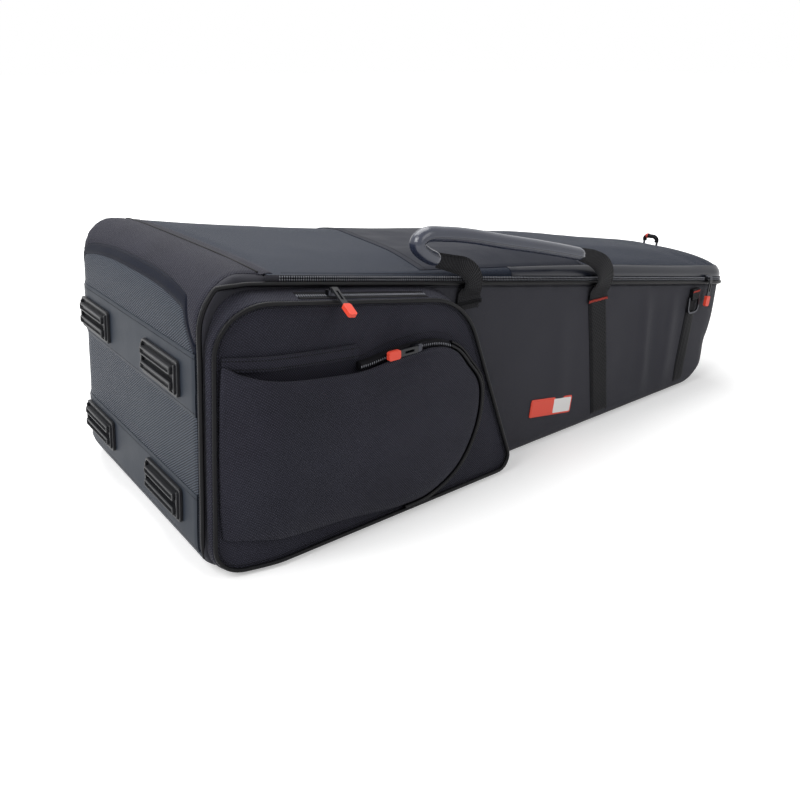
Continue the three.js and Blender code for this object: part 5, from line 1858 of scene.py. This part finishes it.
def foot_place(across, up, off):
    """A place on the leaning bell end, by its distance toward the front, up the face and off it."""
    lean = math.atan(LEAN_RATE)
    upward = Vector((math.sin(lean), 0, math.cos(lean)))
    outward = Vector((-math.cos(lean), 0, math.sin(lean)))
    return row(0, -across, 0) + (upward * up + outward * off) * MM


def foot_part(middle, width, height, radius, levels):
    """A rounded block whose levels are (inset, stand-off); the last level is its floor."""
    rings = []
    for inset, off in levels:
        half, tall = width / 2 - inset, height / 2 - inset
        corners = [Vector((middle.x + a * half, middle.y + b * tall)) for a, b in
                   ((-1, -1), (1, -1), (1, 1), (-1, 1))]
        outline = rounded_outline(corners, [max(radius - inset, 0.5)] * 4, 5)
        rings.append([foot_place(p.x, p.y, off) for p in outline])
    return lofted("foot_part", rings)


def joined(name, parts):
    """One piece from several closed parts."""
    work = bmesh.new()
    for part in parts:
        work.from_mesh(part.data)
        bpy.data.objects.remove(part)
    mesh = bpy.data.meshes.new(name)
    work.to_mesh(mesh)
    work.free()
    return new_object(name, mesh)


class CASE_OT_feet(bpy.types.Operator):
    """Moulded feet of the bell end: a rimmed plate with two channelled rails"""

    bl_idname = "case.make_feet"
    bl_label = "Feet"

    def execute(self, context):
        plate = ((0, 3.3), (0, 6.1), (0.7, 6.8), (2.4, 6.8), (3.0, 5.4))
        rail = ((0, 5.2), (0, 10.9), (0.8, 11.7), (1.9, 11.7), (2.4, 9.4))
        post = ((0, 5.2), (0, 8.4), (0.6, 9))
        for side, across in (("front", FOOT_ACROSS), ("rear", -FOOT_ACROSS)):
            for level, height in FOOT_HEIGHTS:
                parts = [foot_part(Vector((across, height)), 100, 38, 5, plate)]
                for up in (-8, 8):
                    parts.append(foot_part(Vector((across, height + up)), 84, 9, 2.4, rail))
                for end in (-45.6, 45.6):
                    parts.append(foot_part(Vector((across + end, height)), 3, 30, 1.2, post))
                node = f"foot_{side}_{level}"
                finish(joined(node + "_moulding", parts), ["moulded"], "case", [node], 35)
        return {"FINISHED"}


class CASE_OT_hardware(bpy.types.Operator):
    """Sliders, pulls, tips and rings, with eased edges"""

    bl_idname = "case.make_hardware"
    bl_label = "Hardware"

    def execute(self, context):
        plain = []
        for prefix in ("front_main", "rear_main", "large_pocket", "small_pocket"):
            plain += [(prefix + "_slider", "gunmetal", 0.0007), (prefix + "_pull", "moulded", 0.0004),
                      (prefix + "_tip", "tip", 0.001)]
        plain += [("front_ring", "gunmetal", 0.0008), ("end_ring", "gunmetal", 0.0008)]
        for node, finish_name, width in plain:
            shown = frame["nodes"][node]
            shown.data.materials.clear()
            shown.data.materials.append(material(finish_name))
            weld = shown.modifiers.new("Join", "WELD")
            weld.merge_threshold = WELD
            bevelled(shown, width, 3, 35)
        return {"FINISHED"}


class CASE_OT_tag(bpy.types.Operator):
    """A plain two-tone rubber tag with a raised border"""

    bl_idname = "case.make_tag"
    bl_label = "Tag"

    def execute(self, context):
        self.plate("tag_base", 0, 87, 0, 25, 0.3, 1.3, 3, "tip", ["name_tag"])
        for name, left, right, colour in (
            ("tag_panel", 2.2, 46, "tip"),
            ("tag_light_panel", 48, 84.8, "tag_light"),
        ):
            self.plate(name, left, right, 2.2, 22.8, 1.3, 1.7, 1.6, colour, [])
        return {"FINISHED"}

    def plate(self, name, left, right, low, high, under, over, radius, finish_name, replaced):
        """A part of the tag between two stand-offs, with an eased edge; the tag slopes with the zip."""
        corners = [Vector(c) for c in ((left, low), (right, low), (right, high), (left, high))]
        outline = rounded_outline(corners, [radius] * 4, 5)
        rings = []
        for inset, off in ((0, under), (0, over - 0.3), (0.3, over), (1.2, over)):
            ring = []
            for point in outline:
                centre = Vector(((left + right) / 2, (low + high) / 2))
                away = point - centre
                scaled = centre + Vector((away.x * (1 - inset / (right - left) * 2),
                                          away.y * (1 - inset / (high - low) * 2)))
                x = TAG_ALONG + scaled.x * math.cos(SLOPE) + scaled.y * math.sin(SLOPE)
                z = TAG_HEIGHT - scaled.x * math.sin(SLOPE) + scaled.y * math.cos(SLOPE)
                ring.append(on_side(x, z, off))
            rings.append(ring)
        finish(lofted(name, rings), [finish_name], "case", replaced)


class CASE_OT_fittings(bpy.types.Operator):
    """Foam that holds the instrument, and the strap over its neck"""

    bl_idname = "case.make_fittings"
    bl_label = "Inside fittings"

    def execute(self, context):
        for node in ("bell_cradle", "slide_divider", "neck_block"):
            made = remeshed_node(node + "_foam", node, sizes().foam_voxel, 3)
            finish(made, ["lining"], "case", [node], 60, outward=False)
        webbing_node("neck_band_webbing", "neck_band", "case")
        return {"FINISHED"}


class CASE_OT_stage(bpy.types.Operator):
    """Floor, world, lamps and camera"""

    bl_idname = "case.make_stage"
    bl_label = "Stage"

    def execute(self, context):
        scene = context.scene
        scene.view_settings.view_transform = "Standard"
        self.make_world(scene)
        self.make_floor()
        for name, place, size, power, aim in LAMPS:
            lamp = bpy.data.lights.new(name, "AREA")
            lamp.shape = "SQUARE"
            lamp.size = size
            lamp.energy = power
            made = new_object(name, lamp)
            made.location = place
            made.rotation_euler = (Vector(aim) - Vector(place)).to_track_quat("-Z", "Y").to_euler()
        camera = bpy.data.cameras.new("PhotoCamera")
        camera.lens = CAMERA_LENS
        camera.sensor_width = 36
        made = new_object("PhotoCamera", camera)
        made.location = CAMERA_PLACE
        made.rotation_euler = (math.radians(90 - CAMERA_DOWN), 0, math.radians(CAMERA_ROUND))
        scene.camera = made
        return {"FINISHED"}

    def seen_by_eye(self, tree):
        """1 for rays from the camera, and for those that metal or glass passes on."""
        path = add_node(tree, "ShaderNodeLightPath").outputs
        first = add_node(tree, "ShaderNodeMath",
                         {0: path["Is Camera Ray"], 1: path["Is Transmission Ray"]}, operation="MAXIMUM")
        both = add_node(tree, "ShaderNodeMath",
                        {0: first.outputs[0], 1: path["Is Glossy Ray"]}, operation="MAXIMUM")
        return both.outputs[0]

    def make_world(self, scene):
        world = bpy.data.worlds.new("Studio")
        scene.world = world
        tree = cleared_tree(world)
        seen = self.seen_by_eye(tree)
        level = add_node(tree, "ShaderNodeMapRange", {"Value": seen, "To Min": 0.28, "To Max": 1.0})
        shade = add_node(
            tree, "ShaderNodeBackground", {"Color": (1, 1, 1, 1), "Strength": level.outputs[0]}
        )
        add_node(tree, "ShaderNodeOutputWorld", {"Surface": shade.outputs[0]})

    def make_floor(self):
        far = FLOOR_REACH
        corners = [(-far, -far, 0), (far, -far, 0), (far, far, 0), (-far, far, 0)]
        mesh = new_mesh("StudioFloor", corners, [(0, 1, 2, 3)])
        floor = new_object("StudioFloor", mesh)
        paint = bpy.data.materials.new("StudioPaper")
        tree = cleared_tree(paint)
        matt = add_node(tree, "ShaderNodeBsdfDiffuse", {"Color": (0.85, 0.85, 0.85, 1)})
        seen = self.seen_by_eye(tree)
        place = add_node(tree, "ShaderNodeTexCoord").outputs["Object"]
        far_off = add_node(tree, "ShaderNodeVectorMath", {0: place}, operation="LENGTH").outputs["Value"]
        # Painted shade: the floor glows less near the case than far off. This darkens the floor round the
        # case as well as letting the lamps' shadows show.
        level = add_node(tree, "ShaderNodeMapRange", {
            "Value": far_off, "From Min": 0.5, "From Max": 1.8, "To Min": 0.35, "To Max": 0.86,
        })
        glow_with_painted_shade = add_node(tree, "ShaderNodeMath", {0: seen, 1: level.outputs[0]}, operation="MULTIPLY")
        light = add_node(tree, "ShaderNodeEmission", {"Strength": glow_with_painted_shade.outputs[0]})
        both = add_node(tree, "ShaderNodeAddShader", {0: matt.outputs[0], 1: light.outputs[0]})
        add_node(tree, "ShaderNodeOutputMaterial", {"Surface": both.outputs[0]})
        mesh.materials.append(paint)


OPERATORS = (
    CASE_OT_stage,
    CASE_OT_body,
    CASE_OT_end_panels,
    CASE_OT_lid_panels,
    CASE_OT_piping,
    CASE_OT_main_zip,
    CASE_OT_large_pocket,
    CASE_OT_small_pocket,
    CASE_OT_straps,
    CASE_OT_handles,
    CASE_OT_rings,
    CASE_OT_feet,
    CASE_OT_hardware,
    CASE_OT_tag,
    CASE_OT_fittings,
)


class CASE_PT_panel(bpy.types.Panel):
    """Pieces of the case with their sizes and colours"""

    bl_idname = "CASE_PT_panel"
    bl_label = "Trombone case"
    bl_space_type = "VIEW_3D"
    bl_region_type = "UI"
    bl_category = "Case"

    def draw(self, context):
        for group in (context.scene.case_sizes, context.scene.case_colours):
            box = self.layout.box()
            for key in group.__annotations__:
                box.prop(group, key)
        for operator in OPERATORS:
            self.layout.operator(operator.bl_idname)


CLASSES = (CaseColours, CaseSizes, *OPERATORS, CASE_PT_panel)


def register():
    for item in CLASSES:
        bpy.utils.register_class(item)
    bpy.types.Scene.case_colours = bpy.props.PointerProperty(type=CaseColours)
    bpy.types.Scene.case_sizes = bpy.props.PointerProperty(type=CaseSizes)


def unregister():
    del bpy.types.Scene.case_sizes
    del bpy.types.Scene.case_colours
    for item in reversed(CLASSES):
        bpy.utils.unregister_class(item)


def main():
    register()
    for operator in OPERATORS:
        section, name = operator.bl_idname.split(".")
        getattr(getattr(bpy.ops, section), name)()


if __name__ == "__main__":
    main()
